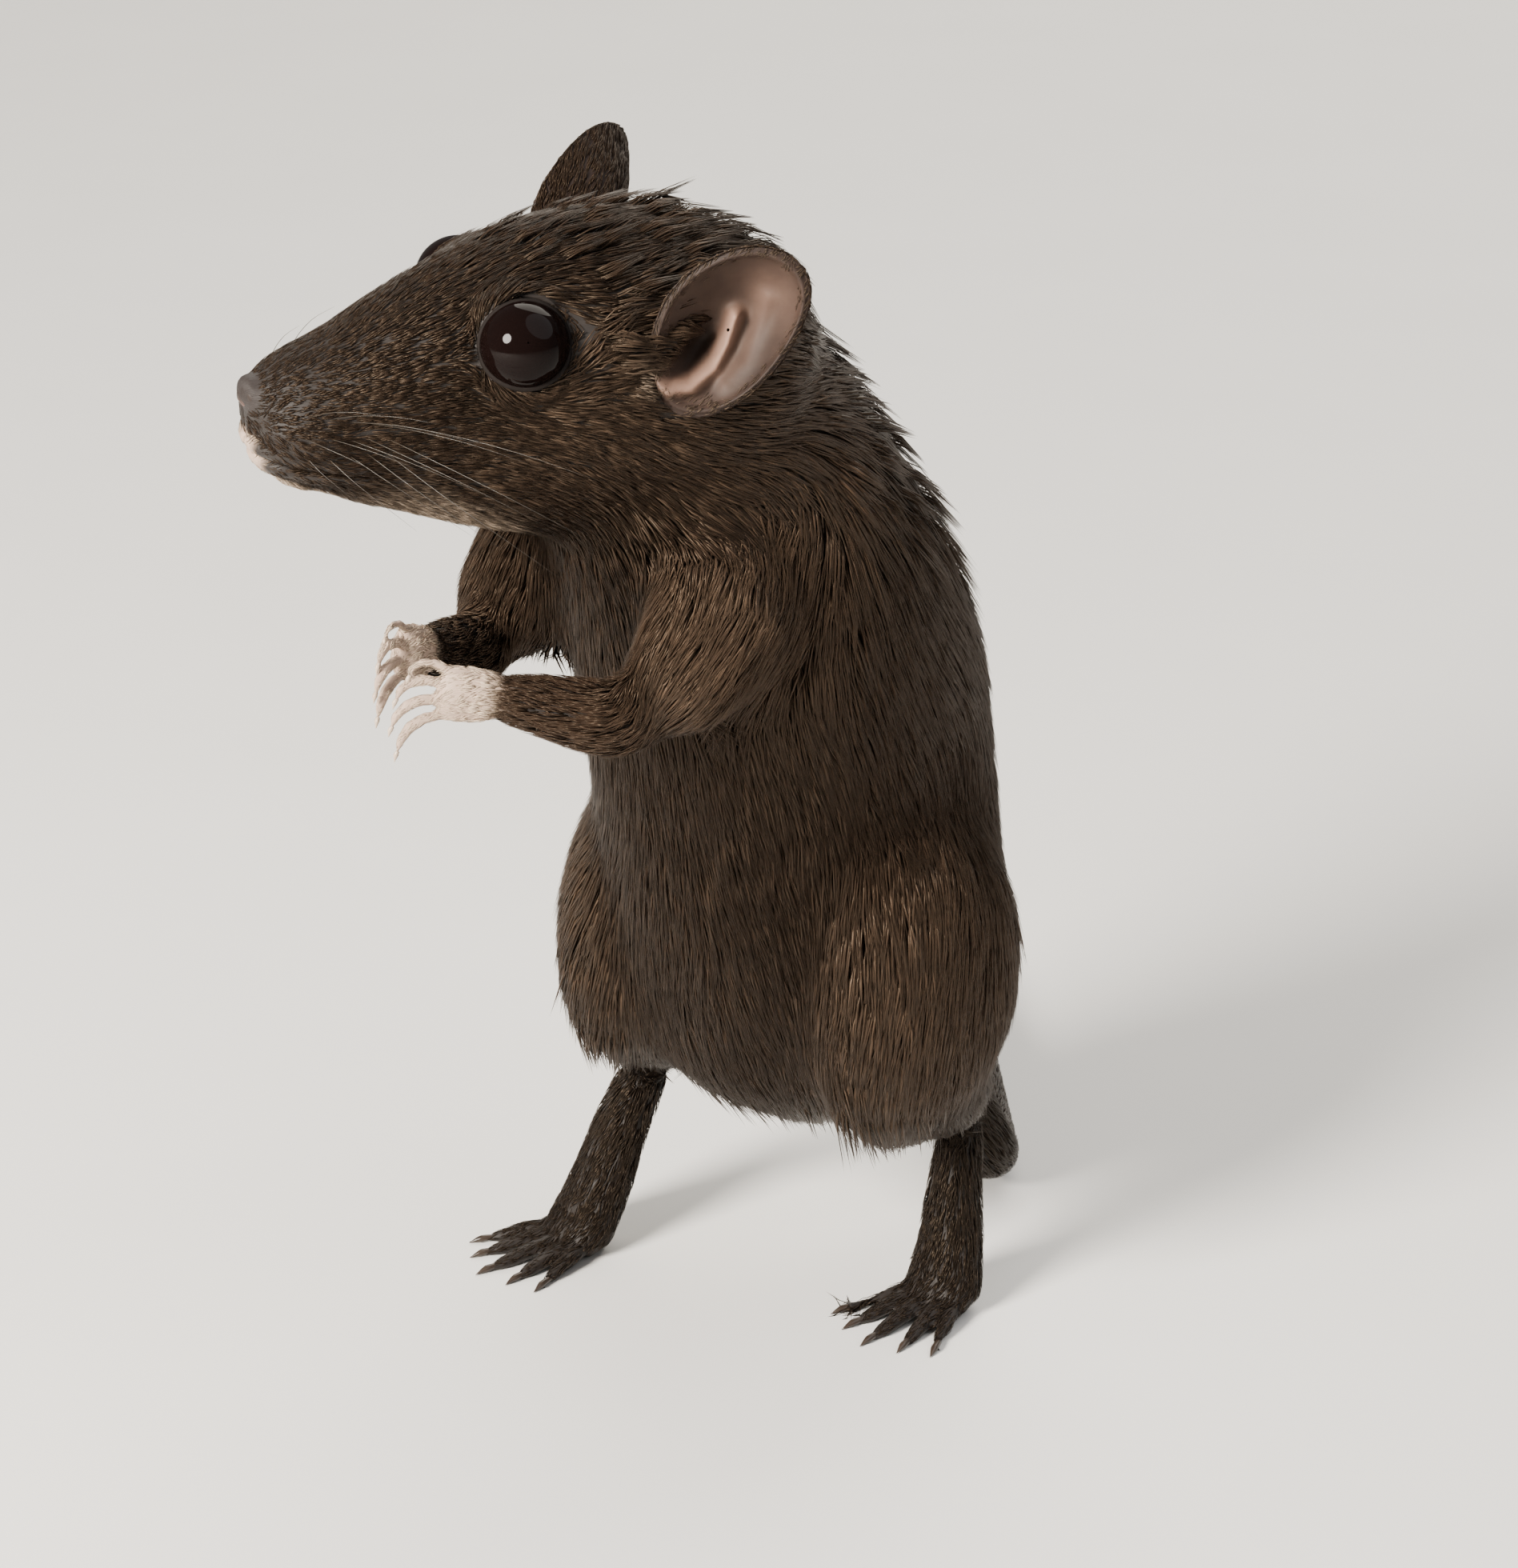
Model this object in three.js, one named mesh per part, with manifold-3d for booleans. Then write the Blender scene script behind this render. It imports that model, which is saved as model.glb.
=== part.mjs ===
// A black Mongolian gerbil, life size, standing upright on its hind feet with its forepaws
// held together and its head turned to its right. Millimetres, +Z up. The chest faces -Y and
// the animal's left side is +X. The pelvis, chest and head each have a heading of their own.

import * as THREE from 'three';
import { mergeVertices } from 'three/addons/utils/BufferGeometryUtils.js';
import loadManifold from 'manifold-3d';

const wasm = await loadManifold();
wasm.setup();

// Driving dimensions, in millimetres and degrees
const gap = 0.3;                 // kept between neighbouring pieces
const headLength = 41.5;         // nose tip to the back of the skull, with its fur
const headHeading = -16;         // turned to its right
const headPitch = 2;             // nose up
const headRoll = 7;              // right ear higher than the left
const pelvisHeading = 13;        // turned to its left
const eyeRadius = 3.05;
const lidThick = 0.5;
const lidOpening = [5.4, 4.3, 2.0];   // radii forward, up and inward of the hollow between the lids
const earHeight = 14.4;
const earWidth = 10.0;
const earDepth = 3.6;
const earThick = 0.7;
const earNarrow = 0.2;           // share of its width that the ear loses below and behind
const earShort = 0.1;            // share of its lower half's height that the lobe loses
const spread = 200;              // larger than the animal, for cutting blocks

const left = 1;
const right = -1;
const sideName = (side) => (side === left ? 'left' : 'right');
const radians = THREE.MathUtils.degToRad;
const point = (x, y, z) => new THREE.Vector3(x, y, z);

// Finishes
const furBlack = new THREE.MeshStandardMaterial({ color: 0x2d221c, roughness: 0.7, metalness: 0 });
const earSkin = new THREE.MeshStandardMaterial({ color: 0x6e5549, roughness: 0.65, metalness: 0 });
const pawSkin = new THREE.MeshStandardMaterial({ color: 0xc9b9a0, roughness: 0.6, metalness: 0 });
const footSkin = new THREE.MeshStandardMaterial({ color: 0x1d1814, roughness: 0.6, metalness: 0 });
const eyeBlack = new THREE.MeshStandardMaterial({ color: 0x070506, roughness: 0.08, metalness: 0 });

// Solids: a closed geometry becomes a solid that can be joined and cut
function toSolid(geometry) {
  geometry.deleteAttribute('normal');
  geometry.deleteAttribute('uv');
  const merged = mergeVertices(geometry, 1e-4);
  return new wasm.Manifold(new wasm.Mesh({
    numProp: 3,
    vertProperties: new Float32Array(merged.attributes.position.array),
    triVerts: new Uint32Array(merged.index.array),
  }));
}

function toGeometry(solid) {
  const mesh = solid.getMesh();
  const geometry = new THREE.BufferGeometry();
  geometry.setAttribute('position', new THREE.BufferAttribute(new Float32Array(mesh.vertProperties), 3));
  geometry.setIndex(new THREE.BufferAttribute(new Uint32Array(mesh.triVerts), 1));
  geometry.computeVertexNormals();
  return geometry;
}

const join = (solids) => solids.reduce((whole, piece) => whole.add(piece));
const cut = (solid, cutters) => cutters.reduce((rest, cutter) => rest.subtract(cutter), solid);
// The largest bodies that the cuts leave, from the lowest to the highest
const lengthsOf = (solid, cutters, count) => cut(solid, cutters).decompose()
  .sort((a, b) => b.volume() - a.volume()).slice(0, count)
  .sort((a, b) => a.boundingBox().min[2] - b.boundingBox().min[2]);
const largest = (solid) => solid.decompose().sort((a, b) => b.volume() - a.volume())[0];

// A form is a path with oval sections across it. Each row of girth holds the half width, and
// the half depths towards side x tangent and away from it. Caps are the rounded shares of its
// ends. sectionAt gives the frame and size of the form at a share t of its path.
function sectionAt({ path, girth, across }, t) {
  const line = new THREE.CatmullRomCurve3(path);
  const size = new THREE.CatmullRomCurve3(girth.map((row) => point(...row))).getPoint(t);
  const tangent = line.getTangent(t);
  const side = Array.isArray(across) ? new THREE.CatmullRomCurve3(across).getPoint(t) : across.clone();
  side.addScaledVector(tangent, -side.dot(tangent)).normalize();
  return { place: line.getPoint(t), tangent, side, front: side.clone().cross(tangent), size };
}

function loft(form, grow = 0) {
  const { rings = 12, sides = 12, caps = [0.25, 0.25] } = form;
  const geometry = new THREE.SphereGeometry(1, sides, rings);
  const spots = geometry.attributes.position;
  const roundEnd = (t, cap) => (t < cap ? Math.sqrt(1 - (1 - t / cap) ** 2) : 1);
  for (let i = 0; i < spots.count; i += 1) {
    const spot = point().fromBufferAttribute(spots, i);
    const t = THREE.MathUtils.clamp((1 - spot.y) / 2, 0, 1);
    const around = Math.hypot(spot.x, spot.z);
    const { place, tangent, side, front, size } = sectionAt(form, t);
    place.addScaledVector(tangent, -grow * spot.y);
    if (around > 1e-6) {
      const open = Math.min(roundEnd(t, caps[0]), roundEnd(1 - t, caps[1]));
      const depth = spot.z < 0 ? size.y : size.z;
      place.addScaledVector(side, (spot.x / around) * (size.x + grow) * open);
      place.addScaledVector(front, (-spot.z / around) * (depth + grow) * open);
    }
    spots.setXYZ(i, place.x, place.y, place.z);
  }
  return toSolid(geometry);
}

// A flat tapered lock rooted in a form: angle runs around the section from its side towards its
// front, sunk is the depth of the root, and the tip is lifted off the surface
function lock(form, t, angle, { length, width, thick, sunk, lift, toEnd = 1, drift = 0 }) {
  const { place, tangent, side, front, size } = sectionAt(form, t);
  const [c, s] = [Math.cos(radians(angle)), Math.sin(radians(angle))];
  const depth = s > 0 ? size.y : size.z;
  const out = side.clone().multiplyScalar(c / size.x).addScaledVector(front, s / depth).normalize();
  const across = out.clone().cross(tangent).normalize();
  const way = tangent.clone().multiplyScalar(toEnd).addScaledVector(across, drift).normalize();
  const root = place.addScaledVector(side, c * size.x).addScaledVector(front, s * depth).addScaledVector(out, -sunk);
  const along = (share, rise) => root.clone().addScaledVector(way, length * share).addScaledVector(out, rise);
  return loft({
    path: [root, along(0.35, sunk * 0.9), along(0.7, sunk + lift * 0.6), along(1, sunk + lift)],
    girth: [[width * 0.4, thick / 2, thick / 2], [width / 2, thick / 2, thick / 2],
      [width * 0.38, thick * 0.4, thick * 0.4], [width * 0.08, thick * 0.12, thick * 0.12]],
    across,
    rings: 6,
    sides: 5,
    caps: [0.15, 0.1],
  });
}

function ball(place, radii, turn = new THREE.Quaternion(), sides = 16, rings = 10) {
  const geometry = new THREE.SphereGeometry(1, sides, rings);
  geometry.applyMatrix4(new THREE.Matrix4().compose(place, turn, radii));
  return toSolid(geometry);
}

// A large block whose one face passes through a place, on the side that direction points to
function halfSpace(place, direction) {
  const geometry = new THREE.BoxGeometry(spread, spread, spread);
  const turn = new THREE.Quaternion().setFromUnitVectors(point(0, 0, 1), direction.clone().normalize());
  const middle = place.clone().addScaledVector(direction.clone().normalize(), spread / 2);
  geometry.applyMatrix4(new THREE.Matrix4().compose(middle, turn, point(1, 1, 1)));
  return toSolid(geometry);
}

// A thin sheet that parts a body at a place
function parting(place, direction, width = spread) {
  const geometry = new THREE.BoxGeometry(width, width, gap);
  const turn = new THREE.Quaternion().setFromUnitVectors(point(0, 0, 1), direction.clone().normalize());
  geometry.applyMatrix4(new THREE.Matrix4().compose(place, turn, point(1, 1, 1)));
  return toSolid(geometry);
}

// A seeded draw between -1 and 1, so that every build is the same
function seededDraw(seed) {
  let state = seed;
  return () => {
    state = (state * 1664525 + 1013904223) % 4294967296;
    return (state / 4294967296) * 2 - 1;
  };
}

const belowFloor = halfSpace(point(0, 0, 0), point(0, 0, -1));

const gerbil = new THREE.Group();

function addPiece(name, solid, finish) {
  const mesh = new THREE.Mesh(toGeometry(largest(solid)), finish);
  mesh.name = name;
  gerbil.add(mesh);
}

// Trunk: one body from the rump to inside the head, parted into abdomen, chest and neck
const heading = (angle) => point(Math.cos(radians(angle)), Math.sin(radians(angle)), 0);
const trunkStations = [
  // x, y, z of the middle, half width, half depth in front, half depth behind, heading
  [0.5, 4.5, 12.5, 9.0, 8.0, 8.5, pelvisHeading],
  [0.5, 3.0, 20.0, 14.2, 12.2, 13.0, pelvisHeading],
  [0.4, 1.2, 28.5, 15.6, 14.0, 15.8, pelvisHeading],
  [0.2, -0.4, 38.0, 14.8, 14.2, 17.6, 8],
  [0.0, -1.6, 47.0, 14.6, 14.4, 17.7, 3],
  [0.0, -4.2, 56.0, 13.8, 13.8, 15.4, -2],
  [-0.4, -8.0, 64.0, 12.4, 12.4, 13.4, -8],
  [-0.8, -12.0, 70.5, 11.2, 11.0, 12.8, -13],
  [-1.0, -15.0, 75.0, 8.6, 8.5, 9.4, headHeading],
];

const trunk = {
  path: trunkStations.map(([x, y, z]) => point(x, y, z)),
  girth: trunkStations.map(([, , , wide, front, back]) => [wide, front, back]),
  across: trunkStations.map((station) => heading(station[6])),
  rings: 24,
  sides: 24,
  caps: [0.16, 0.16],
};

// Head: lofted from the back of the skull to the nose in a frame of its own, where +X is
// forward, +Y is its left and +Z is up
const headPlace = point(-1.0, -16.0, 74.9);
const headTurn = new THREE.Quaternion()
  .setFromEuler(new THREE.Euler(radians(-headRoll), radians(-headPitch), radians(headHeading - 90), 'ZYX'));
const inHead = (x, y, z) => point(x, y, z).applyQuaternion(headTurn).add(headPlace);
const headWay = (x, y, z) => point(x, y, z).applyQuaternion(headTurn);
const headFront = 26;            // nose tip, forward of the head's middle
const headStations = [
  // forward, height of the middle, half width, depth below, height above
  [headFront - headLength, -1.4, 7.0, 7.6, 5.8],
  [-10.5, -0.6, 10.2, 11.4, 9.0],
  [-5.5, 0, 11.2, 13.0, 10.0],
  [0, 0, 10.8, 13.0, 10.8],
  [5.5, 0, 9.6, 12.4, 10.5],
  [10.5, -0.2, 8.1, 11.2, 9.0],
  [15.0, -0.6, 6.8, 9.5, 6.9],
  [19.0, -1.1, 5.8, 7.6, 5.0],
  [23.0, -1.3, 4.5, 5.2, 3.6],
  [headFront, -1.0, 2.6, 2.9, 2.4],
];

const skull = {
  path: headStations.map(([x, z]) => inHead(x, 0, z)),
  girth: headStations.map(([, , wide, below, above]) => [wide, below, above]),
  across: headWay(0, 1, 0),
  rings: 22,
  sides: 22,
  caps: [0.14, 0.09],
};

const eyeSpot = (side) => inHead(8.6, side * 6.4, 4.2);

function eye(side, grow = 0) {
  const radius = eyeRadius + grow;
  return ball(eyeSpot(side), point(radius, radius, radius), headTurn, 14, 10);
}

// The lids are a mound of skin over each eye, opened by an oval that is longer from front to back
function eyelids(side) {
  const outward = headWay(0.26, side * 0.88, 0.4).normalize();
  const forward = headWay(1, 0, -0.1);
  forward.addScaledVector(outward, -forward.dot(outward)).normalize();
  const turn = new THREE.Quaternion().setFromRotationMatrix(
    new THREE.Matrix4().makeBasis(forward, outward.clone().cross(forward), outward),
  );
  const radius = eyeRadius + gap + lidThick;
  const mound = ball(eyeSpot(side), point(radius * 1.06, radius, radius), turn, 18, 10);
  const opening = ball(eyeSpot(side).addScaledVector(outward, eyeRadius), point(...lidOpening), turn, 18, 10);
  return mound.subtract(opening);
}

// A slab in the head's frame: size forward, across and up, tipped about the head's width
function headSlab([x, y, z], [long, wide, high], tip = 0) {
  const geometry = new THREE.BoxGeometry(long, wide, high);
  const turn = new THREE.Quaternion().setFromAxisAngle(point(0, 1, 0), radians(tip));
  geometry.applyMatrix4(new THREE.Matrix4().compose(point(x, y, z), turn, point(1, 1, 1)));
  geometry.applyMatrix4(new THREE.Matrix4().compose(headPlace, headTurn, point(1, 1, 1)));
  return toSolid(geometry);
}

// The mouth runs level from its corners round the front of the muzzle, between raised lips
const mouthPlace = [22.2, 0, -4.5];
const mouthTip = -7;             // the line drops towards the corners
const mouthLength = 8.4;
const lipRise = 0.3;
const grooveDepth = 0.9;
const grooveWidth = 0.4;

function muzzle(whole) {
  const inMuzzle = (forward, sideways, up, radii) => ball(inHead(forward, sideways, up), point(...radii), headTurn, 12, 8);
  const whiskerPads = [left, right].map((side) => inMuzzle(20.0, side * 2.3, -1.9, [5.6, 3.3, 3.0]));
  const nosePad = inMuzzle(headFront - 0.7, 0, -0.1, [1.1, 1.6, 1.2]);
  const lips = loft(skull, lipRise).intersect(inMuzzle(...mouthPlace, [mouthLength * 0.56, 8, 1.5]));
  const chin = inMuzzle(20.6, 0, -6.0, [3.4, 2.6, 1.7]);
  const full = join([whole, ...whiskerPads, nosePad, lips, chin]);
  const core = loft(skull, -grooveDepth);
  const mouth = headSlab(mouthPlace, [mouthLength, 18, grooveWidth], mouthTip).subtract(core);
  const cleft = headSlab([headFront - 1.2, 0, -2.8], [4, grooveWidth, 3.0]).subtract(loft(skull, -0.3));
  const nostrils = [left, right].map((side) => inMuzzle(headFront + 0.2, side, -0.1, [0.9, 0.4, 0.45]));
  return cut(full, [mouth, cleft, ...nostrils]);
}

// Ear: a deep cup rooted in the side of the head, its opening forward and outward. The left
// ear is laid back and the right one is raised.
const earPoses = {
  left: { root: inHead(0.0, 9.8, -0.3), lean: 33 },
  right: { root: inHead(2.2, -9.6, 0.6), lean: 32 },
};

function earFrame(side) {
  const { root, lean } = earPoses[sideName(side)];
  const up = headWay(-Math.sin(radians(lean)), side * 0.2, Math.cos(radians(lean))).normalize();
  const open = headWay(0.5, side * 0.86, 0);
  open.addScaledVector(up, -open.dot(up)).normalize();
  const across = open.clone().cross(up);
  const turn = new THREE.Quaternion().setFromRotationMatrix(new THREE.Matrix4().makeBasis(across, open, up));
  return { turn, up, open, root };
}

// The pinna is an egg-shaped dish: its back is a bowl, then a rim as wide as the skin is thick,
// then a hollow front. A grown one has no hollow, to clear the hair round its root.
function earCup(side, grow = 0) {
  const { turn, up, root } = earFrame(side);
  const rings = 10;
  const rim = rings / 2;
  const geometry = new THREE.SphereGeometry(1, 16, rings);
  const spots = geometry.attributes.position;
  for (let i = 0; i < spots.count; i += 1) {
    const spot = point().fromBufferAttribute(spots, i);
    const ring = Math.round((Math.acos(THREE.MathUtils.clamp(spot.y, -1, 1)) / Math.PI) * rings);
    const isHollow = ring < rim && grow === 0;
    const share = isHollow ? Math.sin((ring / (rim - 1)) * (Math.PI / 2)) : Math.hypot(spot.x, spot.z);
    const around = Math.atan2(spot.z, spot.x);
    const inset = isHollow ? earThick : -grow;
    const below = Math.max(0, -Math.sin(around));
    const behind = Math.max(0, -Math.cos(around) * side);
    const narrow = 1 - earNarrow * Math.max(below, behind);
    const hollowDepth = -(earDepth - earThick) * Math.cos(share * (Math.PI / 2));
    const backDepth = (earDepth + grow) * Math.min(spot.y, grow);
    spots.setXYZ(
      i,
      Math.cos(around) * share * (earWidth / 2 - inset) * narrow,
      isHollow ? hollowDepth : backDepth,
      Math.sin(around) * share * (earHeight / 2 - inset) * (1 - earShort * below),
    );
  }
  const middle = root.clone().addScaledVector(up, earHeight / 2);
  geometry.applyMatrix4(new THREE.Matrix4().compose(middle, turn, point(1, 1, 1)));
  return toSolid(geometry);
}

// Limbs
const pelvisPlace = point(0.5, 2.0, 0);
function inPelvis(sideways, forward, z) {
  return point(sideways, -forward, z).applyAxisAngle(point(0, 0, 1), radians(pelvisHeading)).add(pelvisPlace);
}
const pelvisAcross = heading(pelvisHeading);

const legs = {
  left: { heel: point(9.8, 9.0, 17.5), ballOfFoot: point(12.0, 5.2, 3.0), toes: point(12.8, -1.0, 0.9) },
  right: { heel: point(-12.8, -1.4, 17.0), ballOfFoot: point(-13.3, -10.0, 3.0), toes: point(-14.0, -16.4, 0.9) },
};

function thigh(side, grow = 0) {
  return loft({
    path: [inPelvis(side * 9.8, -0.5, 43.5), inPelvis(side * 11.6, 2.8, 34), inPelvis(side * 12.0, 4.2, 24.5), inPelvis(side * 10.6, 1.5, 14.5)],
    girth: [[4.0, 7.0, 6.0], [6.2, 10.6, 9.5], [6.4, 11.4, 10.0], [4.6, 8.0, 6.0]],
    across: pelvisAcross,
    rings: 14,
    sides: 18,
    caps: [0.4, 0.35],
  }, grow);
}

function shank(side, grow = 0) {
  const { heel, ballOfFoot } = legs[sideName(side)];
  const knee = inPelvis(side * 12.4, 3.5, 20);
  const end = heel.clone().lerp(ballOfFoot, 0.18);
  return loft({
    path: [knee, knee.clone().lerp(heel, 0.55).add(point(0, 0, -1)), heel, end],
    girth: [[4.6, 5.0, 5.0], [4.0, 4.2, 4.2], [2.6, 2.6, 2.6], [1.9, 1.9, 1.9]],
    across: pelvisAcross,
    rings: 12,
    sides: 12,
    caps: [0.3, 0.16],
  }, grow);
}

function digit({ path, thick, flat = 1, across, rings = 6, sides = 6 }) {
  return loft({
    path,
    girth: [[thick, thick * flat, thick * flat], [thick * 0.95, thick * 0.9 * flat, thick * 0.9 * flat],
      [thick * 0.9, thick * 0.8 * flat, thick * 0.8 * flat], [thick * 0.35, thick * 0.3, thick * 0.3]],
    across,
    rings,
    sides,
    caps: [0.2, 0.3],
  });
}

const toeStep = 1.25;            // between neighbouring toes at the ball of the foot
const toeSpread = 0.2;           // sideways for each step forward, for each step from the middle
const toeThick = 0.75;

function hindFoot(side) {
  const { heel, ballOfFoot, toes } = legs[sideName(side)];
  const along = toes.clone().sub(ballOfFoot).setZ(0).normalize();
  const sideways = point(-along.y, along.x, 0);
  const sole = loft({
    path: [heel.clone().lerp(ballOfFoot, 0.1), heel.clone().lerp(ballOfFoot, 0.5), ballOfFoot.clone().setZ(1.6),
      ballOfFoot.clone().addScaledVector(along, 2.6).setZ(1.1)],
    girth: [[2.0, 2.1, 2.1], [2.5, 2.1, 2.1], [3.4, 2.1, 2.3], [3.3, 1.8, 1.4]],
    across: sideways,
    rings: 10,
    sides: 12,
    caps: [0.2, 0.3],
  });
  const fan = [-2, -1, 0, 1, 2].map((place) => {
    const start = ballOfFoot.clone().addScaledVector(along, 1.2).addScaledVector(sideways, place * toeStep).setZ(1.0);
    const reach = 6.4 - Math.abs(place) * 0.9;
    const way = along.clone().addScaledVector(sideways, place * toeSpread).normalize();
    return digit({
      path: [start, start.clone().addScaledVector(way, reach * 0.4).setZ(0.9),
        start.clone().addScaledVector(way, reach * 0.8).setZ(0.5), start.clone().addScaledVector(way, reach + 1.2).setZ(0.2)],
      thick: toeThick,
      across: sideways,
    });
  });
  return join([sole, ...fan]);
}

const arms = {
  left: { shoulder: point(9.6, -12.5, 60.0), elbow: point(9.0, -20.5, 52.0), wrist: point(3.6, -28.5, 54.4), palm: point(2.2, -31.4, 55.0) },
  right: { shoulder: point(-10.4, -12.5, 60.5), elbow: point(-9.4, -21.0, 52.6), wrist: point(-5.0, -28.6, 55.6), palm: point(-3.7, -31.2, 56.4) },
};

function upperArm(side) {
  const { shoulder, elbow } = arms[sideName(side)];
  const top = shoulder.clone().add(point(side * -0.6, 3, 3));
  return loft({
    path: [top, shoulder, shoulder.clone().lerp(elbow, 0.6), elbow],
    girth: [[3.4, 5.4, 5.4], [4.4, 6.4, 6.4], [4.3, 5.2, 5.2], [3.6, 3.8, 3.8]],
    across: point(1, 0, 0),
    rings: 12,
    sides: 14,
    caps: [0.4, 0.3],
  });
}

// The forearm and the forepaw both run past the wrist, where a plane parts them
function foreArm(side) {
  const { elbow, wrist, palm } = arms[sideName(side)];
  const past = wrist.clone().lerp(palm, 0.5);
  return loft({
    path: [elbow.clone().add(point(0, 1.5, -0.6)), elbow.clone().lerp(wrist, 0.45), wrist, past],
    girth: [[3.5, 3.5, 3.5], [3.0, 3.0, 3.0], [1.9, 1.9, 1.9], [1.6, 1.6, 1.6]],
    across: point(0, 0, 1),
    rings: 10,
    sides: 12,
    caps: [0.3, 0.1],
  }).subtract(halfSpace(wrist, wrist.clone().sub(elbow)));
}

const fingerStep = 1.0;          // between neighbouring fingers at the palm
const fingerSpread = 0.24;       // sideways for each step forward, for each step from the middle
const fingerThick = 0.53;

function forePaw(side) {
  const { wrist, palm } = arms[sideName(side)];
  const along = palm.clone().sub(wrist).normalize();
  const sideways = point(0, 0, 1).addScaledVector(along, -along.z).normalize();
  const inward = sideways.clone().cross(along).multiplyScalar(side);
  const hand = loft({
    path: [wrist.clone().addScaledVector(along, -1.6), palm, palm.clone().addScaledVector(along, 1.6)],
    girth: [[1.7, 1.6, 1.6], [2.1, 1.3, 1.3], [1.9, 1.0, 1.0]],
    across: sideways,
    rings: 8,
    sides: 10,
    caps: [0.2, 0.3],
  });
  const fan = [-1.5, -0.5, 0.5, 1.5].map((place) => {
    const start = palm.clone().addScaledVector(along, 0.6).addScaledVector(sideways, place * fingerStep);
    const reach = 4.6 - Math.abs(place) * 0.5;
    const way = along.clone().addScaledVector(sideways, place * fingerSpread).normalize();
    return digit({
      path: [start, start.clone().addScaledVector(way, reach * 0.5),
        start.clone().addScaledVector(way, reach * 0.8).addScaledVector(point(0, 0, -1), 0.8).addScaledVector(inward, 0.1),
        start.clone().addScaledVector(way, reach * 0.95).addScaledVector(point(0, 0, -1), 2.2).addScaledVector(inward, 0.2)],
      thick: fingerThick,
      across: sideways,
    });
  });
  return join([hand, ...fan]);
}

// Tail: from the rump down to the floor, then away behind the animal's right
const tailLine = [
  point(-1.5, 11.5, 17.5), point(0.0, 16.5, 11.0), point(1.2, 20.0, 4.0), point(-5.0, 25.5, 2.4), point(-18.0, 35.5, 2.3),
  point(-33.0, 46.0, 2.2), point(-49.0, 54.5, 2.6), point(-65.0, 60.5, 2.4), point(-72.0, 62.0, 1.0),
];
const tailGirth = [3.6, 3.2, 2.6, 2.4, 2.3, 2.2, 2.6, 2.5, 0.8];

const tailForm = {
  path: tailLine,
  girth: tailGirth.map((radius) => [radius, radius, radius]),
  across: heading(40),
  rings: 36,
  sides: 10,
  caps: [0.08, 0.05],
};

// Coat locks: the ragged tufts of the crown and nape
const crownRows = [0.31, 0.38, 0.45];
function crownLocks() {
  const draw = seededDraw(7);
  return crownRows.flatMap((t, row) => [-56, -80, -104, -128].map((angle) => lock(skull, t, angle + row * 9 + draw() * 4, {
    length: 5.4 + draw() * 0.7, width: 3.0, thick: 0.8, sunk: 0.9, lift: 0.7 + draw() * 0.2, toEnd: -1, drift: draw() * 0.15,
  })));
}

const napeRows = [0.815, 0.77, 0.72];
function napeLocks() {
  const draw = seededDraw(11);
  return napeRows.flatMap((t, row) => [-35, -62, -90, -118, -145].map((angle) => lock(trunk, t, angle + row * 10 + draw() * 4, {
    length: 6.8 + draw() * 0.8, width: 3.6, thick: 0.85, sunk: 0.9, lift: 1.2 + draw() * 0.3, toEnd: -1, drift: draw() * 0.2,
  })));
}

// Tail tuft: long locks round the last length of the tail, reaching past its end
const tuftRows = [0.81, 0.865, 0.92, 0.965];
function tuftLocks() {
  const draw = seededDraw(23);
  return tuftRows.flatMap((t, row) => [0, 60, 120, 180].map((angle) => lock(tailForm, t, angle + row * 24 + draw() * 8, {
    length: 9.5 + draw() * 1.2, width: 2.5, thick: 0.8, sunk: 0.9, lift: 0.5 + draw() * 0.3, drift: draw() * 0.12,
  })));
}

// Assembly
const trunkClear = loft(trunk, gap);
const skullClear = loft(skull, gap);
const cuts = [
  parting(point(0, -1, 42), point(0, -0.15, 1)),
  parting(point(0, -7, 61), point(0, -0.35, 1)),
];
const ears = { left: earCup(left), right: earCup(right) };
const earsClear = [earCup(left, gap), earCup(right, gap)];
const crown = cut(join(crownLocks()), earsClear);
const head = muzzle(join([loft(skull), eyelids(left), eyelids(right), crown]));
addPiece('head', cut(head, [eye(left, gap), eye(right, gap)]), furBlack);
const [abdomen, chest, neck] = lengthsOf(loft(trunk), [skullClear, ...cuts], 3);
const chestClear = trunkClear.subtract(halfSpace(point(0, -7, 61 - gap / 2), point(0, -0.35, 1)));
addPiece('abdomen', abdomen, furBlack);
addPiece('chest', chest, furBlack);
addPiece('neck', cut(join([neck, ...napeLocks()]), [skullClear, chestClear, ...earsClear]), furBlack);

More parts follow.
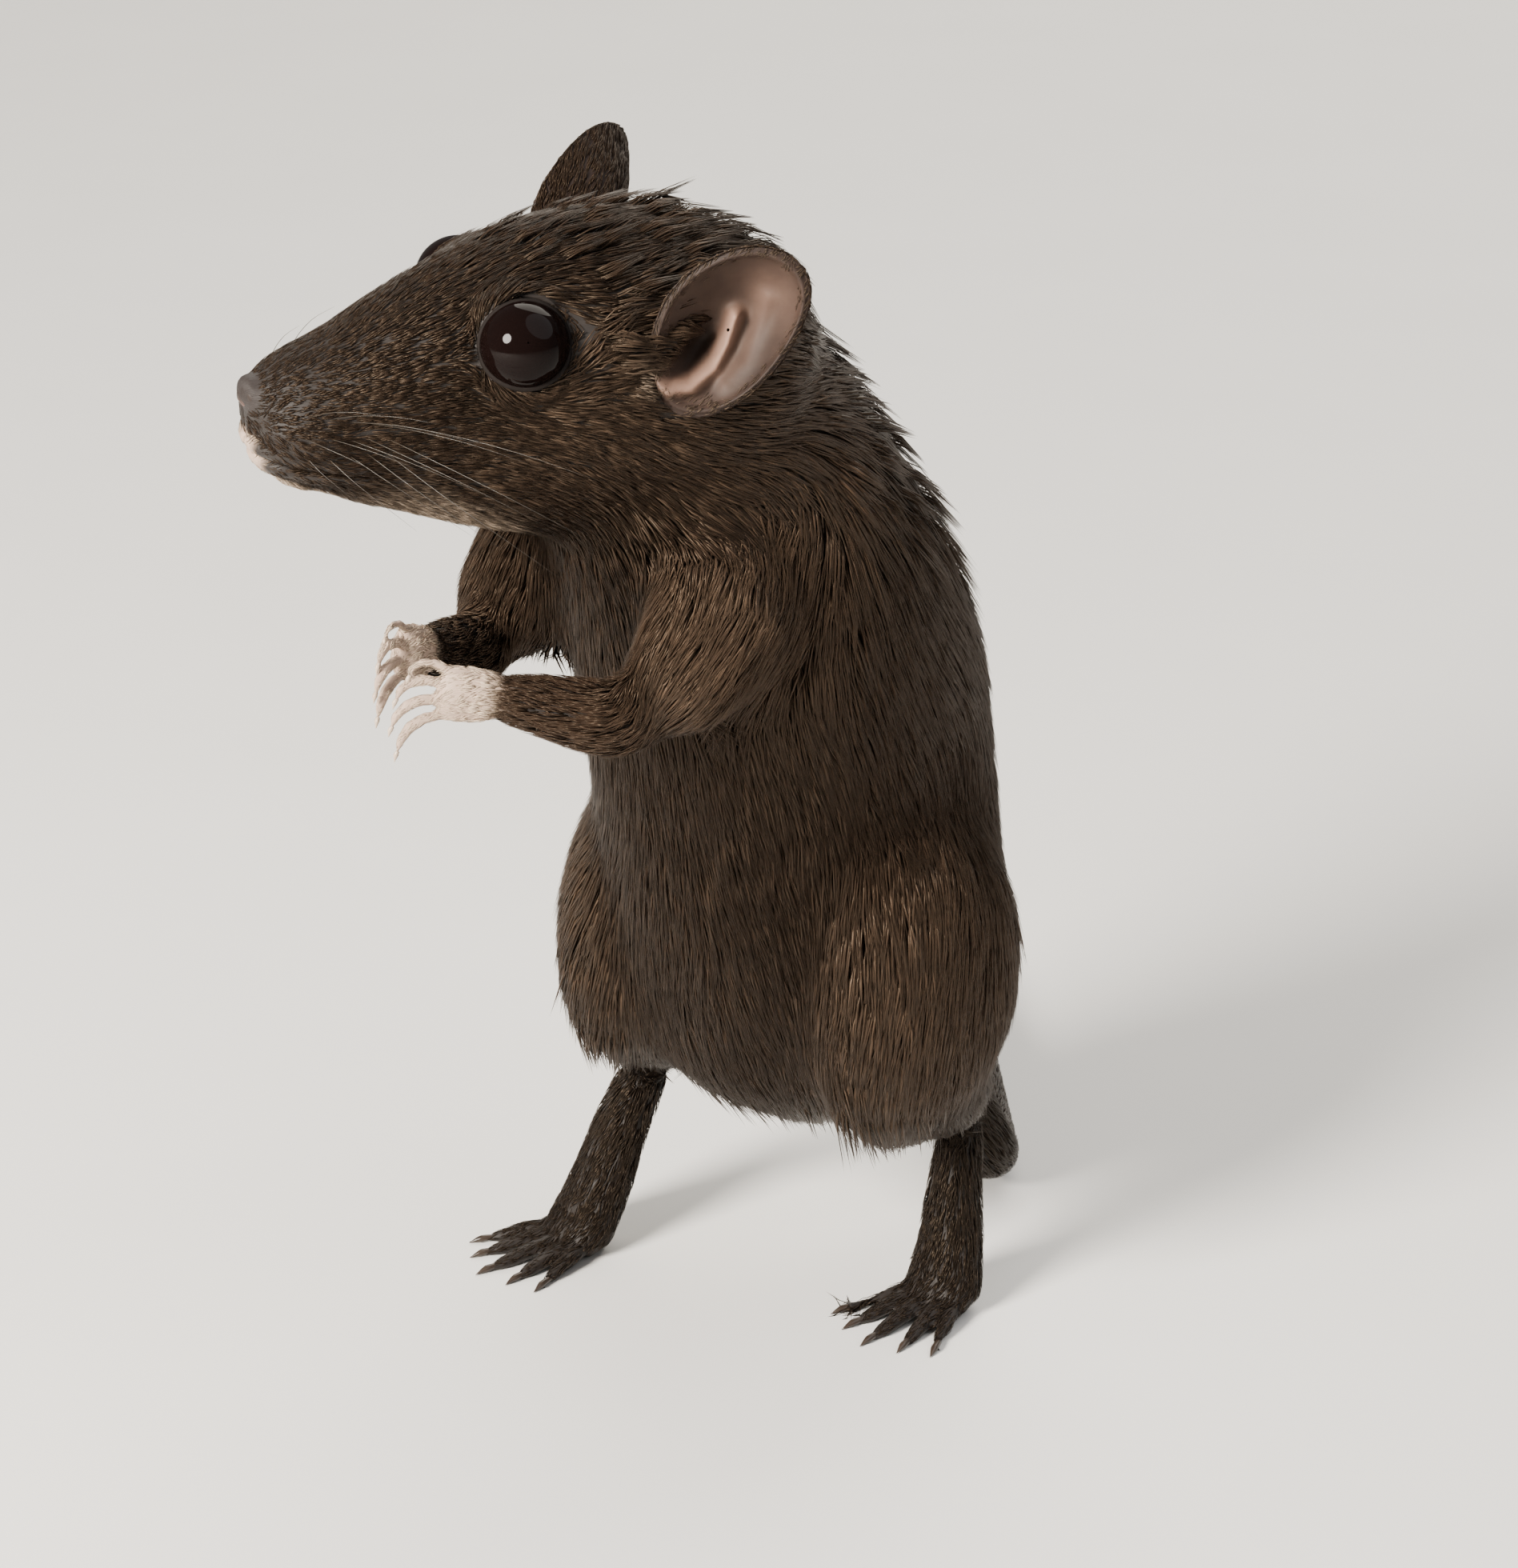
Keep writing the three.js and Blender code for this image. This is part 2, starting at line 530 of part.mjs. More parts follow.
for (const side of [left, right]) {
  const name = sideName(side);
  addPiece(`ear_${name}`, ears[name].subtract(skullClear), earSkin);
  addPiece(`eye_${name}`, eye(side), eyeBlack);
  const { heel, ballOfFoot } = legs[name];
  const { elbow, wrist } = arms[name];
  const kneeCut = parting(heel.clone().add(point(0, 0, 4.5)), point(0, 0.3, 1));
  const [lowerLeg, upperLeg] = lengthsOf(thigh(side).add(shank(side)), [trunkClear, kneeCut], 2);
  addPiece(`thigh_${name}`, upperLeg, furBlack);
  addPiece(`shank_${name}`, lowerLeg, furBlack);
  const ankle = halfSpace(heel.clone().lerp(ballOfFoot, 0.18), heel.clone().sub(ballOfFoot));
  addPiece(`hind_foot_${name}`, cut(hindFoot(side), [ankle, thigh(side, gap), shank(side, gap), belowFloor]), footSkin);
  const elbowCut = parting(elbow.clone().lerp(wrist, 0.25), wrist.clone().sub(elbow), 18);
  const [fore, upper] = cut(upperArm(side).add(foreArm(side)), [trunkClear, elbowCut]).decompose()
    .sort((a, b) => b.volume() - a.volume()).slice(0, 2).reverse();
  addPiece(`upper_arm_${name}`, upper, furBlack);
  addPiece(`forearm_${name}`, fore, furBlack);
  const pastWrist = wrist.clone().sub(elbow).setLength(gap).add(wrist);
  const wristCut = halfSpace(pastWrist, elbow.clone().sub(wrist));
  addPiece(`forepaw_${name}`, forePaw(side).subtract(wristCut), pawSkin);
}

const tailCurve = new THREE.CatmullRomCurve3(tailLine);
const tailNames = ['tail_base', 'tail_upper', 'tail_middle', 'tail_lower', 'tail_tip'];
const tailCuts = [2.3, 3.6, 5.0, 6.2].map((station) => {
  const t = station / (tailLine.length - 1);
  return parting(tailCurve.getPoint(t), tailCurve.getTangent(t), 12);
});
cut(loft(tailForm), [trunkClear, belowFloor, ...tailCuts]).decompose()
  .sort((a, b) => b.volume() - a.volume()).slice(0, tailNames.length)
  .sort((a, b) => b.boundingBox().max[0] - a.boundingBox().max[0])
  .forEach((piece, i) => {
    const isTip = i === tailNames.length - 1;
    addPiece(tailNames[i], isTip ? cut(join([piece, ...tuftLocks()]), [belowFloor, tailCuts[i - 1]]) : piece, furBlack);
  });

// The origin is below the middle of the whole animal, on the floor
const extent = new THREE.Box3().setFromObject(gerbil);
const middle = extent.getCenter(point());
gerbil.position.set(-middle.x, -middle.y, 0);

export default gerbil;
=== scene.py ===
# A black Mongolian gerbil, life size, standing upright on its hind feet. Metres, +Z up.
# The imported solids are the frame. One skin is made from copies of them, inside them by the
# depth of the coat. Fur, lids, ears, nose, claws and whiskers are then set on that skin.

import math

import bmesh
import bpy
import numpy as np
from mathutils import Euler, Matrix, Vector
from mathutils.bvhtree import BVHTree
from mathutils.kdtree import KDTree


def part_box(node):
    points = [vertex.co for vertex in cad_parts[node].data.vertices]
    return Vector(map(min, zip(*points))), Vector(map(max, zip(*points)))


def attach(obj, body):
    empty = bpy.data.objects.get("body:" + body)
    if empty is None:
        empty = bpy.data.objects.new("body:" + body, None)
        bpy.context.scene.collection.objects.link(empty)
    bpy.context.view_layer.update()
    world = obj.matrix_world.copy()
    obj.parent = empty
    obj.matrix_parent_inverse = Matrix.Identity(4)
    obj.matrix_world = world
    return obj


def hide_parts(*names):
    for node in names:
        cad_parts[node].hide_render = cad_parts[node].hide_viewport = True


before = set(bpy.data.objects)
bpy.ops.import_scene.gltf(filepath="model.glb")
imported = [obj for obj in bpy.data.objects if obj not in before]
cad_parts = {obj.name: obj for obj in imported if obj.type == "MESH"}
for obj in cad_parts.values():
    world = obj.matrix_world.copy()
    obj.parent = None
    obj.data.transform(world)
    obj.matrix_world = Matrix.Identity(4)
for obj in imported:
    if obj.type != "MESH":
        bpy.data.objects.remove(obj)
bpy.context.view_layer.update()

MM = 0.001
SIDES = {"left": 1, "right": -1}
BODY = "root"
draw = np.random.default_rng(41)


# Small helpers
def unit(vectors):
    length = np.linalg.norm(vectors, axis=-1, keepdims=True)
    return vectors / np.maximum(length, 1e-12)


def smooth_step(low, high, values):
    share = np.clip((values - low) / (high - low), 0, 1)
    return share * share * (3 - 2 * share)


def near(points, place, radius):
    """1 close to a place, falling to 0 at a radius in millimetres."""
    return smooth_step(radius * MM, radius * 0.4 * MM, np.linalg.norm(points - place, axis=1))


# Places. The head has a frame of its own, +X forward, +Y its left, +Z up. It is found from the
# two eyes, and the design's own origin is found from the head.
HEAD_TURN = np.array(Euler((math.radians(-7), math.radians(-2), math.radians(-106)), "XYZ").to_matrix())
HEAD_IN_DESIGN = np.array([-1.0, -16.0, 74.9]) * MM
EYE_IN_HEAD = np.array([8.6, 6.4, 4.2]) * MM
EYE_RADIUS = 3.05 * MM
PELVIS_TURN = math.radians(13)


def box_centre(node):
    low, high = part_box(node)
    return (np.array(low) + np.array(high)) / 2


EYES = {side: box_centre(f"eye_{side}") for side in SIDES}
HEAD_ORIGIN = (EYES["left"] + EYES["right"]) / 2 - HEAD_TURN @ (EYE_IN_HEAD * [1, 0, 1])
ORIGIN = HEAD_ORIGIN - HEAD_IN_DESIGN


def in_head(forward, sideways, up):
    return HEAD_ORIGIN + HEAD_TURN @ (np.array([forward, sideways, up]) * MM)


def head_way(forward, sideways, up):
    return unit(HEAD_TURN @ np.array([forward, sideways, up], dtype=float))


def to_head(points):
    """The head-frame coordinates of points, in millimetres."""
    return (points - HEAD_ORIGIN) @ HEAD_TURN / MM


def in_design(x, y, z):
    return ORIGIN + np.array([x, y, z]) * MM


def in_pelvis(sideways, forward, up):
    c = math.cos(PELVIS_TURN)
    s = math.sin(PELVIS_TURN)
    return in_design(0.5 + sideways * c + forward * s, 2.0 + sideways * s - forward * c, up)


def limb(**places):
    return {name: in_design(*place) for name, place in places.items()}


LEGS = {
    "left": limb(heel=(9.8, 9.0, 17.5), ball=(12.0, 5.2, 1.6), toes=(12.8, -1.0, 0.9)),
    "right": limb(heel=(-12.8, -1.4, 17.0), ball=(-13.3, -10.0, 1.6), toes=(-14.0, -16.4, 0.9)),
}
ARMS = {
    "left": limb(shoulder=(9.6, -12.5, 60.0), elbow=(9.0, -20.5, 52.0), wrist=(3.6, -28.5, 54.4),
                 palm=(2.2, -31.4, 55.0)),
    "right": limb(shoulder=(-10.4, -12.5, 60.5), elbow=(-9.4, -21.0, 52.6), wrist=(-5.0, -28.6, 55.6),
                  palm=(-3.7, -31.2, 56.4)),
}
MIDLINE = -0.75
TAIL = [in_design(*place) for place in [
    (-1.5, 11.5, 17.5), (0.0, 16.5, 11.0), (1.2, 20.0, 4.0), (-5.0, 25.5, 2.4), (-18.0, 35.5, 2.3),
    (-33.0, 46.0, 2.2), (-49.0, 54.5, 2.6), (-65.0, 60.5, 2.4), (-72.0, 62.0, 1.0)]]


def finger_lines(side):
    """The four fingers of a forepaw, from knuckle to tip."""
    sign = SIDES[side]
    wrist = ARMS[side]["wrist"]
    palm = ARMS[side]["palm"]
    along = unit(palm - wrist)
    sideways = unit(np.array([0, 0, 1]) - along * along[2])
    inward = np.cross(sideways, along) * sign
    down = np.array([0, 0, -1.0])
    lines = []
    for place in (-1.5, -0.5, 0.5, 1.5):
        start = palm + (along * 0.6 + sideways * place) * MM
        reach = (4.6 - abs(place) * 0.5) * MM
        way = unit(along + sideways * place * 0.24)
        lines.append([
            start,
            start + way * reach * 0.5,
            start + way * reach * 0.8 + (down * 0.8 + inward * 0.1) * MM,
            start + way * reach * 0.95 + (down * 2.2 + inward * 0.2) * MM,
        ])
    return lines


def toe_lines(side):
    """The five toes of a hind foot, from knuckle to tip."""
    ball = LEGS[side]["ball"]
    toes = LEGS[side]["toes"]
    along = unit((toes - ball) * [1, 1, 0])
    sideways = np.array([-along[1], along[0], 0])
    lines = []
    for place in (-2, -1, 0, 1, 2):
        start = ball + (along * 1.2 + sideways * place * 1.25) * MM
        reach = (6.4 - abs(place) * 0.9) * MM
        way = unit(along + sideways * place * 0.2)
        ends = [(0, 1.0), (reach * 0.4, 0.9), (reach * 0.8, 0.5), (reach + 1.2 * MM, 0.2)]
        lines.append([np.array([*(start + way * far)[:2], height * MM]) for far, height in ends])
    return lines


# Eyes
LID_ANGLE = math.radians(71)
LID_CORNER = math.radians(11)


def eye_frame(side):
    """The eye's outward, forward and upward directions."""
    outward = head_way(0.26, SIDES[side] * 0.88, 0.4)
    forward = head_way(1, 0, -0.1)
    forward = unit(forward - outward * (forward @ outward))
    upward = np.cross(outward, forward) * SIDES[side]
    return outward, forward, upward


def lid_angle(around):
    """The polar angle of the lid's edge, wider at the corners of the eye."""
    return LID_ANGLE + LID_CORNER * np.abs(np.cos(around)) ** 3


def round_eye(side, points):
    """Distance from an eye's middle, and the polar and turning angle about its outward axis."""
    outward, forward, upward = eye_frame(side)
    away = points - EYES[side]
    polar = np.arccos(np.clip(unit(away) @ outward, -1, 1))
    return np.linalg.norm(away, axis=1), polar, np.arctan2(away @ upward, away @ forward)


# Ears. Each is an egg-shaped dish, narrower below and behind, in millimetres
CAD_EAR_HEIGHT = 14.4
EAR_HALF_HEIGHT = 6.95
EAR_HALF_WIDTH = 4.75
EAR_DEPTH = 3.4
EAR_THICK = 0.45
EAR_NARROW = 0.2
EAR_SHORT = 0.1
EAR_ROOTS = {"left": ((0.0, 9.8, -0.3), 33), "right": ((2.2, -9.6, 0.6), 32)}
CANAL = (0.9, -2.4)
# Ridges inside the cup: the line of each as forward and upward places, its height, half width
# and how pink it is
EAR_RIDGES = [
    ([(0.2, 1.0), (-0.5, -0.8), (-0.8, -2.4), (-0.4, -4.2), (0.7, -5.2), (2.2, -5.5)], 1.35, 0.55, 0.62),
    ([(-0.6, 3.4), (-1.4, 1.4), (-2.2, -0.8), (-2.0, -2.8)], 0.4, 0.6, 0.10),
]


def ear_frame(side):
    """An ear's middle, and its forward, outward and upward directions."""
    root, lean = EAR_ROOTS[side]
    lean = math.radians(lean)
    up = head_way(-math.sin(lean), SIDES[side] * 0.2, math.cos(lean))
    facing = head_way(0.5, SIDES[side] * 0.86, 0)
    facing = unit(facing - up * (facing @ up))
    ahead = np.cross(facing, up) * SIDES[side]
    return in_head(*root) + up * CAD_EAR_HEIGHT / 2 * MM, np.stack([ahead, facing, up])


def to_ear(side, points):
    """Forward, outward and upward places of points from an ear's middle."""
    middle, axes = ear_frame(side)
    return ((points - middle) @ axes.T / MM).T


def ear_halves(around):
    """Half width and half height of the ear for each turning angle."""
    below = np.maximum(0, -np.sin(around))
    behind = np.maximum(0, -np.cos(around))
    return (EAR_HALF_WIDTH * (1 - EAR_NARROW * np.hypot(below, behind)),
            EAR_HALF_HEIGHT * (1 - EAR_SHORT * below))


def ear_share(forward, up):
    """0 in the middle of an ear and 1 on its rim."""
    wide, high = ear_halves(np.arctan2(up / EAR_HALF_HEIGHT, forward / EAR_HALF_WIDTH))
    return np.hypot(forward / wide, up / high)


def ear_hollow(forward, up):
    """How far out the middle of the ear's skin lies, with the ear canal sunk in it."""
    canal = np.exp(-((forward - CANAL[0]) / 1.0) ** 2 - ((up - CANAL[1]) / 1.5) ** 2)
    return -EAR_DEPTH * np.cos(np.minimum(ear_share(forward, up), 1) * math.pi / 2) - 1.1 * canal


# The lie of the coat: lines that the hair follows from the nose back and down to the toes and
# tail tip. Each station has a place, the body's radius there, and the hair's length, the
# coat's depth, the tuft's width, all in millimetres, and tufts on each square millimetre.
def lie_lines():
    lines = {"head": [
        (in_head(26.5, 0, -1.0), 3.0, 0.5, 0.07, 0.07, 34),
        (in_head(22.0, 0, -1.0), 5.0, 0.8, 0.13, 0.08, 28),
        (in_head(15.0, 0, -1.0), 7.5, 1.5, 0.26, 0.11, 20),
        (in_head(7.0, 0, 0.0), 10.0, 2.4, 0.45, 0.14, 15),
        (in_head(-4.0, 0, 0.0), 12.0, 3.6, 0.72, 0.17, 13),
        (in_head(-14.0, 0, -1.0), 9.0, 4.8, 1.00, 0.20, 12),
    ], "neck": [
        (in_design(-0.8, -13.0, 71.0), 11.0, 5.0, 1.05, 0.21, 12),
        (in_design(-0.4, -8.0, 64.0), 12.5, 5.6, 1.10, 0.22, 12),
    ], "trunk": [
        (in_design(-0.4, -8.0, 64.0), 12.5, 5.6, 1.10, 0.22, 12),
        (in_design(0.0, -1.6, 47.0), 15.0, 6.4, 1.20, 0.23, 12),
        (in_design(0.4, 1.2, 28.5), 15.5, 6.4, 1.20, 0.23, 12),
        (in_design(0.5, 3.5, 17.0), 13.0, 5.5, 1.10, 0.22, 12),
        (in_design(0.5, 5.0, 10.0), 9.0, 4.5, 1.00, 0.21, 12),
    ], "tail": [
        (TAIL[0], 3.6, 3.4, 0.55, 0.19, 11),
        (TAIL[2], 2.6, 2.4, 0.40, 0.16, 11),
        (TAIL[3], 2.4, 2.2, 0.35, 0.15, 11),
        (TAIL[4], 2.3, 2.2, 0.35, 0.15, 11),
        (TAIL[5], 2.2, 2.6, 0.40, 0.16, 11),
        (TAIL[6], 2.4, 5.5, 0.70, 0.20, 12),
        (TAIL[7], 2.0, 8.5, 1.10, 0.22, 15),
        (TAIL[8], 1.0, 9.0, 1.10, 0.22, 22),
    ]}
    for side, sign in SIDES.items():
        arm = ARMS[side]
        leg = LEGS[side]
        top = arm["shoulder"] + np.array([-0.6 * sign, 3.0, 4.0]) * MM
        lines[f"arm_{side}"] = [
            (top, 5.6, 4.8, 0.95, 0.20, 13),
            (arm["shoulder"], 6.0, 4.6, 0.90, 0.20, 13),
            (arm["elbow"], 3.8, 3.0, 0.60, 0.17, 14),
            (arm["wrist"], 1.9, 1.5, 0.26, 0.11, 18),
        ]
        palm = arm["palm"]
        tips = np.mean([line[-1] for line in finger_lines(side)], axis=0)
        lines[f"forepaw_{side}"] = [
            (arm["wrist"], 1.9, 1.2, 0.20, 0.10, 18),
            (palm, 2.2, 0.7, 0.09, 0.08, 22),
            (tips, 2.4, 0.4, 0.04, 0.06, 24),
        ]
        lines[f"leg_{side}"] = [
            (in_pelvis(sign * 9.8, -0.5, 44.0), 7.0, 6.0, 1.15, 0.23, 12),
            (in_pelvis(sign * 12.0, 4.0, 30.0), 9.5, 6.0, 1.10, 0.22, 12),
            (in_pelvis(sign * 12.2, 3.5, 19.0), 5.5, 4.4, 0.90, 0.21, 12),
            (leg["heel"], 2.9, 2.0, 0.38, 0.13, 16),
        ]
        lines[f"hind_foot_{side}"] = [
            (leg["heel"], 2.6, 1.8, 0.32, 0.12, 16),
            (leg["ball"], 2.8, 1.0, 0.13, 0.09, 20),
            (leg["toes"], 3.0, 0.6, 0.06, 0.07, 20),
        ]
    return lines


LINES = lie_lines()
REGIONS = list(LINES)


def coat_fields(points):
    """Flow, length, depth, width and density of the coat at points, the region that each is in,
    and its place along that region's line."""
    total = np.zeros(len(points))
    flow = np.zeros((len(points), 3))
    sizes = np.zeros((len(points), 4))
    best = np.full(len(points), -1.0)
    region = np.zeros(len(points), dtype=int)
    along = np.zeros(len(points))
    for index, name in enumerate(REGIONS):
        travelled = 0.0
        stations = LINES[name]
        for start, end in zip(stations, stations[1:]):
            way = end[0] - start[0]
            length = np.linalg.norm(way)
            share = np.clip((points - start[0]) @ way / length ** 2, 0, 1)
            away = np.linalg.norm(points - (start[0] + share[:, None] * way), axis=1)
            radius = (start[1] + share * (end[1] - start[1])) * MM
            weight = 1 / ((away / radius) ** 2 + 0.02) ** 3
            first = np.array(start[2:], dtype=float)
            change = np.array(end[2:], dtype=float) - first
            sizes += weight[:, None] * (first + share[:, None] * change)
            flow += weight[:, None] * (way / length)
            total += weight
            nearer = weight > best
            best = np.where(nearer, weight, best)
            region = np.where(nearer, index, region)
            along = np.where(nearer, travelled + share * length, along)
            travelled += length
    sizes /= total[:, None]
    return {"flow": unit(flow), "length": sizes[:, 0] * MM, "depth": sizes[:, 1] * MM,
            "width": sizes[:, 2] * MM, "density": sizes[:, 3], "region": region, "along": along}


# Markings, shared by skin and coat: 0 is black fur, 1 is cream
def paleness(points):
    head = to_head(points)
    middle = smooth_step(2.1, 1.0, np.abs(head[:, 1]))
    pale = middle * smooth_step(18.5, 21.0, head[:, 0]) * smooth_step(-2.6, -3.4, head[:, 2]) * 0.85
    for side in SIDES:
        forward, out, up = to_ear(side, points)
        lobe = np.exp(-((forward - 2.6) / 1.6) ** 2 - ((up + 5.9) / 0.9) ** 2) * (out < 3) * (out > -6)
        pale = np.maximum(pale, 0.22 * lobe)
        wrist = ARMS[side]["wrist"]
        palm = ARMS[side]["palm"]
        far = (points - wrist) @ unit(palm - wrist) / MM
        own = SIDES[side] * ((points - ORIGIN)[:, 0] / MM - MIDLINE) > 0
        pale = np.maximum(pale, smooth_step(-0.4, 1.4, far) * near(points, palm, 14) * own)
    return pale


# Painted sheen: places where the coat is painted lighter and browner where light falls on it, as a place, a
# radius in millimetres and a share
def sheen_places():
    places = [(in_head(-1, 0, 9.5), 8, 0.4), (in_design(-1, -22, 60), 8, 0.3)]
    for side, sign in SIDES.items():
        places += [
            (in_head(2.0, sign * 9, -2), 11, 1.0), (in_head(8, sign * 8, -4), 7, 0.7),
            (in_head(19, sign * 4, -0.5), 3.5, 0.6), (in_head(-7, sign * 10, -6), 13, 1.0),
            (ARMS[side]["shoulder"] + np.array([sign * 3, -2, 1]) * MM, 11, 1.0),
            (in_pelvis(sign * 15, 6, 33), 13, 1.0), (in_pelvis(sign * 13, 9, 27), 9, 0.8),
        ]
    return places


def painted_sheen_and_shade(points):
    """0 low down, where painted shade makes the fur darker below some 26 mm; a half on most of the coat; 1
    where painted sheen makes it lightest and brownest.
    """
    sheen_shade = np.full(len(points), 0.5)
    # Painted sheen: lighter, browner fur where light falls on the crown, neck, cheeks, muzzle, shoulders and
    # thighs.
    for place, radius, share in sheen_places():
        sheen_shade = np.maximum(sheen_shade, 0.5 + 0.5 * share * near(points, place, radius))
    # Painted shade: darker fur low down, below some 26 mm.
    return sheen_shade - 0.5 * smooth_step(26, 14, points[:, 2] / MM)


# Meshes from arrays
def build_object(name, verts, faces, mat, smooth=True):
    mesh = bpy.data.meshes.new(name)
    mesh.vertices.add(len(verts))
    mesh.vertices.foreach_set("co", np.ascontiguousarray(verts, dtype=np.float32).ravel())
    corners = faces.shape[1]
    mesh.loops.add(faces.size)
    mesh.loops.foreach_set("vertex_index", np.ascontiguousarray(faces, dtype=np.int32).ravel())
    mesh.polygons.add(len(faces))
    mesh.polygons.foreach_set("loop_start", np.arange(0, faces.size, corners, dtype=np.int32))
    mesh.update(calc_edges=True)
    mesh.polygons.foreach_set("use_smooth", np.full(len(faces), smooth))
    mesh.materials.append(mat)
    obj = bpy.data.objects.new(name, mesh)
    bpy.context.scene.collection.objects.link(obj)
    return obj


def take_arrays(mesh, corners):
    """Reads the vertices and faces of a mesh of one kind of face, then removes it."""
    verts = np.empty(len(mesh.vertices) * 3)
    mesh.vertices.foreach_get("co", verts)
    faces = np.empty(len(mesh.loops), dtype=np.int32)
    mesh.loops.foreach_get("vertex_index", faces)
    bpy.data.meshes.remove(mesh)
    return verts.reshape(-1, 3), faces.reshape(-1, corners)


def remove_object(obj):
    mesh = obj.data
    bpy.data.objects.remove(obj)
    bpy.data.meshes.remove(mesh)


def set_attribute(obj, name, values):
    attribute = obj.data.attributes.new(name, "FLOAT", "POINT")
    attribute.data.foreach_set("value", np.ascontiguousarray(values, dtype=np.float32))


def merge(parts):
    """Joins pairs of vertices and faces into one."""
    verts = np.concatenate([np.asarray(part[0], dtype=float) for part in parts])
    shifts = np.cumsum([0] + [len(part[0]) for part in parts[:-1]])
    faces = np.concatenate([np.asarray(part[1], dtype=int) + shift for part, shift in zip(parts, shifts)])
    return verts, faces


def triangles(faces):
    """Splits quads in two, and leaves triangles as they are."""
    if faces.shape[1] == 3:
        return faces
    return np.concatenate([faces[:, [0, 1, 2]], faces[:, [0, 2, 3]]])


def curve_points(path, count):
    """Points on a smooth line through path, with even steps in its parameter."""
    path = np.asarray(path, dtype=float)
    ends = np.vstack([2 * path[0] - path[1], path, 2 * path[-1] - path[-2]])
    t = np.linspace(0, len(path) - 1, count)
    i = np.minimum(t.astype(int), len(path) - 2)
    f = (t - i)[:, None]
    a, b, c, d = (ends[i + k] for k in range(4))
    bend = (2 * a - 5 * b + 4 * c - d) * f ** 2
    return 0.5 * (2 * b + (c - a) * f + bend + (3 * b - a - 3 * c + d) * f ** 3)


def tube(path, radii, rings=12, sides=8):
    """A closed tapered tube, as vertices and triangles."""
    middle = curve_points(path, rings)
    radius = np.interp(np.linspace(0, 1, rings), np.linspace(0, 1, len(radii)), radii)
    tangent = unit(np.gradient(middle, axis=0))
    across = unit(np.cross(tangent, [0.31, 0.17, 0.93]))
    over = np.cross(tangent, across)
    angle = np.linspace(0, 2 * math.pi, sides, endpoint=False)
    circle = np.cos(angle)[None, :, None] * across[:, None] + np.sin(angle)[None, :, None] * over[:, None]
    verts = (middle[:, None] + circle * radius[:, None, None]).reshape(-1, 3)
    verts = np.vstack([verts, middle[0], middle[-1]])
    faces = []
    for ring in range(rings - 1):
        for k in range(sides):
            a = ring * sides + k
            b = ring * sides + (k + 1) % sides
            faces += [(a, b, b + sides), (a, b + sides, a + sides)]
    first, last = rings * sides, rings * sides + 1
    for k in range(sides):
        following = (k + 1) % sides
        faces += [(first, following, k), (last, last - 1 - sides + k, last - 1 - sides + following)]
    return verts, np.array(faces)


def ring_quads(rows, around_count):
    faces = []
    for row in range(rows - 1):
        for k in range(around_count):
            following = (k + 1) % around_count
            faces.append((row * around_count + k, (row + 1) * around_count + k,
                          (row + 1) * around_count + following, row * around_count + following))
    return np.array(faces)


def sphere_grid(around_count, rings):
    """Unit vectors and quads of a sphere whose poles are on Z."""
    polar = np.linspace(0.02, math.pi - 0.02, rings)
    around = np.linspace(0, 2 * math.pi, around_count, endpoint=False)
    p, a = np.meshgrid(polar, around, indexing="ij")
    points = np.stack([np.sin(p) * np.cos(a), np.sin(p) * np.sin(a), np.cos(p)], axis=-1).reshape(-1, 3)
    return points, ring_quads(rings, around_count)


# Materials
class Paint:
    """A material's shader, and the nodes that feed it. A colour is given as three numbers."""

    def __init__(self, name, rough, **sockets):
        self.material = bpy.data.materials.new(name)
        self.material.use_nodes = True
        self.nodes = self.material.node_tree.nodes
        self.inputs = self.nodes["Principled BSDF"].inputs
        for socket, value in {"Roughness": rough, **sockets}.items():
            self.inputs[socket.replace("_", " ")].default_value = value

    def fill(self, socket, value):
        """Links a socket to another one, or sets its value."""
        if isinstance(value, bpy.types.NodeSocket):
            self.material.node_tree.links.new(value, socket)
        else:
            socket.default_value = (*value, 1) if isinstance(value, tuple) else value

    def node(self, kind, output, **sockets):
        node = self.nodes.new(f"ShaderNode{kind}")
        for socket, value in sockets.items():
            self.fill(node.inputs[socket.replace("_", " ")], value)
        return node.outputs[output]

    def attribute(self, name):
        node = self.nodes.new("ShaderNodeAttribute")
        node.attribute_name = name
        return node.outputs["Fac"]

    def mix(self, factor, first, second):
        node = self.nodes.new("ShaderNodeMix")
        node.data_type = "RGBA"
        node.clamp_factor = True
        for index, value in ((0, factor), (6, first), (7, second)):
            self.fill(node.inputs[index], value)
        return node.outputs[2]

    def grain(self, scale, detail=4.0):
        place = self.node("TexCoord", "Object")
        return self.node("TexNoise", "Fac", Vector=place, Scale=scale, Detail=detail)

    def ranged(self, value, low, high, to_low=0.0, to_high=1.0):
        return self.node("MapRange", "Result", Value=value, From_Min=low, From_Max=high,
                         To_Min=to_low, To_Max=to_high)

    def bump(self, height, strength, distance):
        normal = self.node("Bump", "Normal", Height=height, Strength=strength, Distance=distance)
        self.fill(self.inputs["Normal"], normal)

    def coloured(self, colour):
        """Sets the base colour, and gives the finished material."""
        self.fill(self.inputs["Base Color"], colour)
        return self.material


FUR_ROOT = (0.0035, 0.0020, 0.0014)
# Tip colour of the fur low down: painted shade.
FUR_SHADED_TIP = (0.0060, 0.0042, 0.0034)
FUR_TIP = (0.0170, 0.0094, 0.0060)
# Tip colour where light falls: painted sheen.
FUR_SHEEN_TIP = (0.0360, 0.0225, 0.0150)
# Brown of the ticking, raised to stand in for sheen where light falls: partly real ticking, partly painted
# sheen.
FUR_TICKING_SHEEN = (0.066, 0.042, 0.027)
FUR_SHINE = (1.0, 0.76, 0.55, 1)
CREAM_ROOT = (0.30, 0.22, 0.165)
CREAM_TIP = (0.56, 0.45, 0.34)


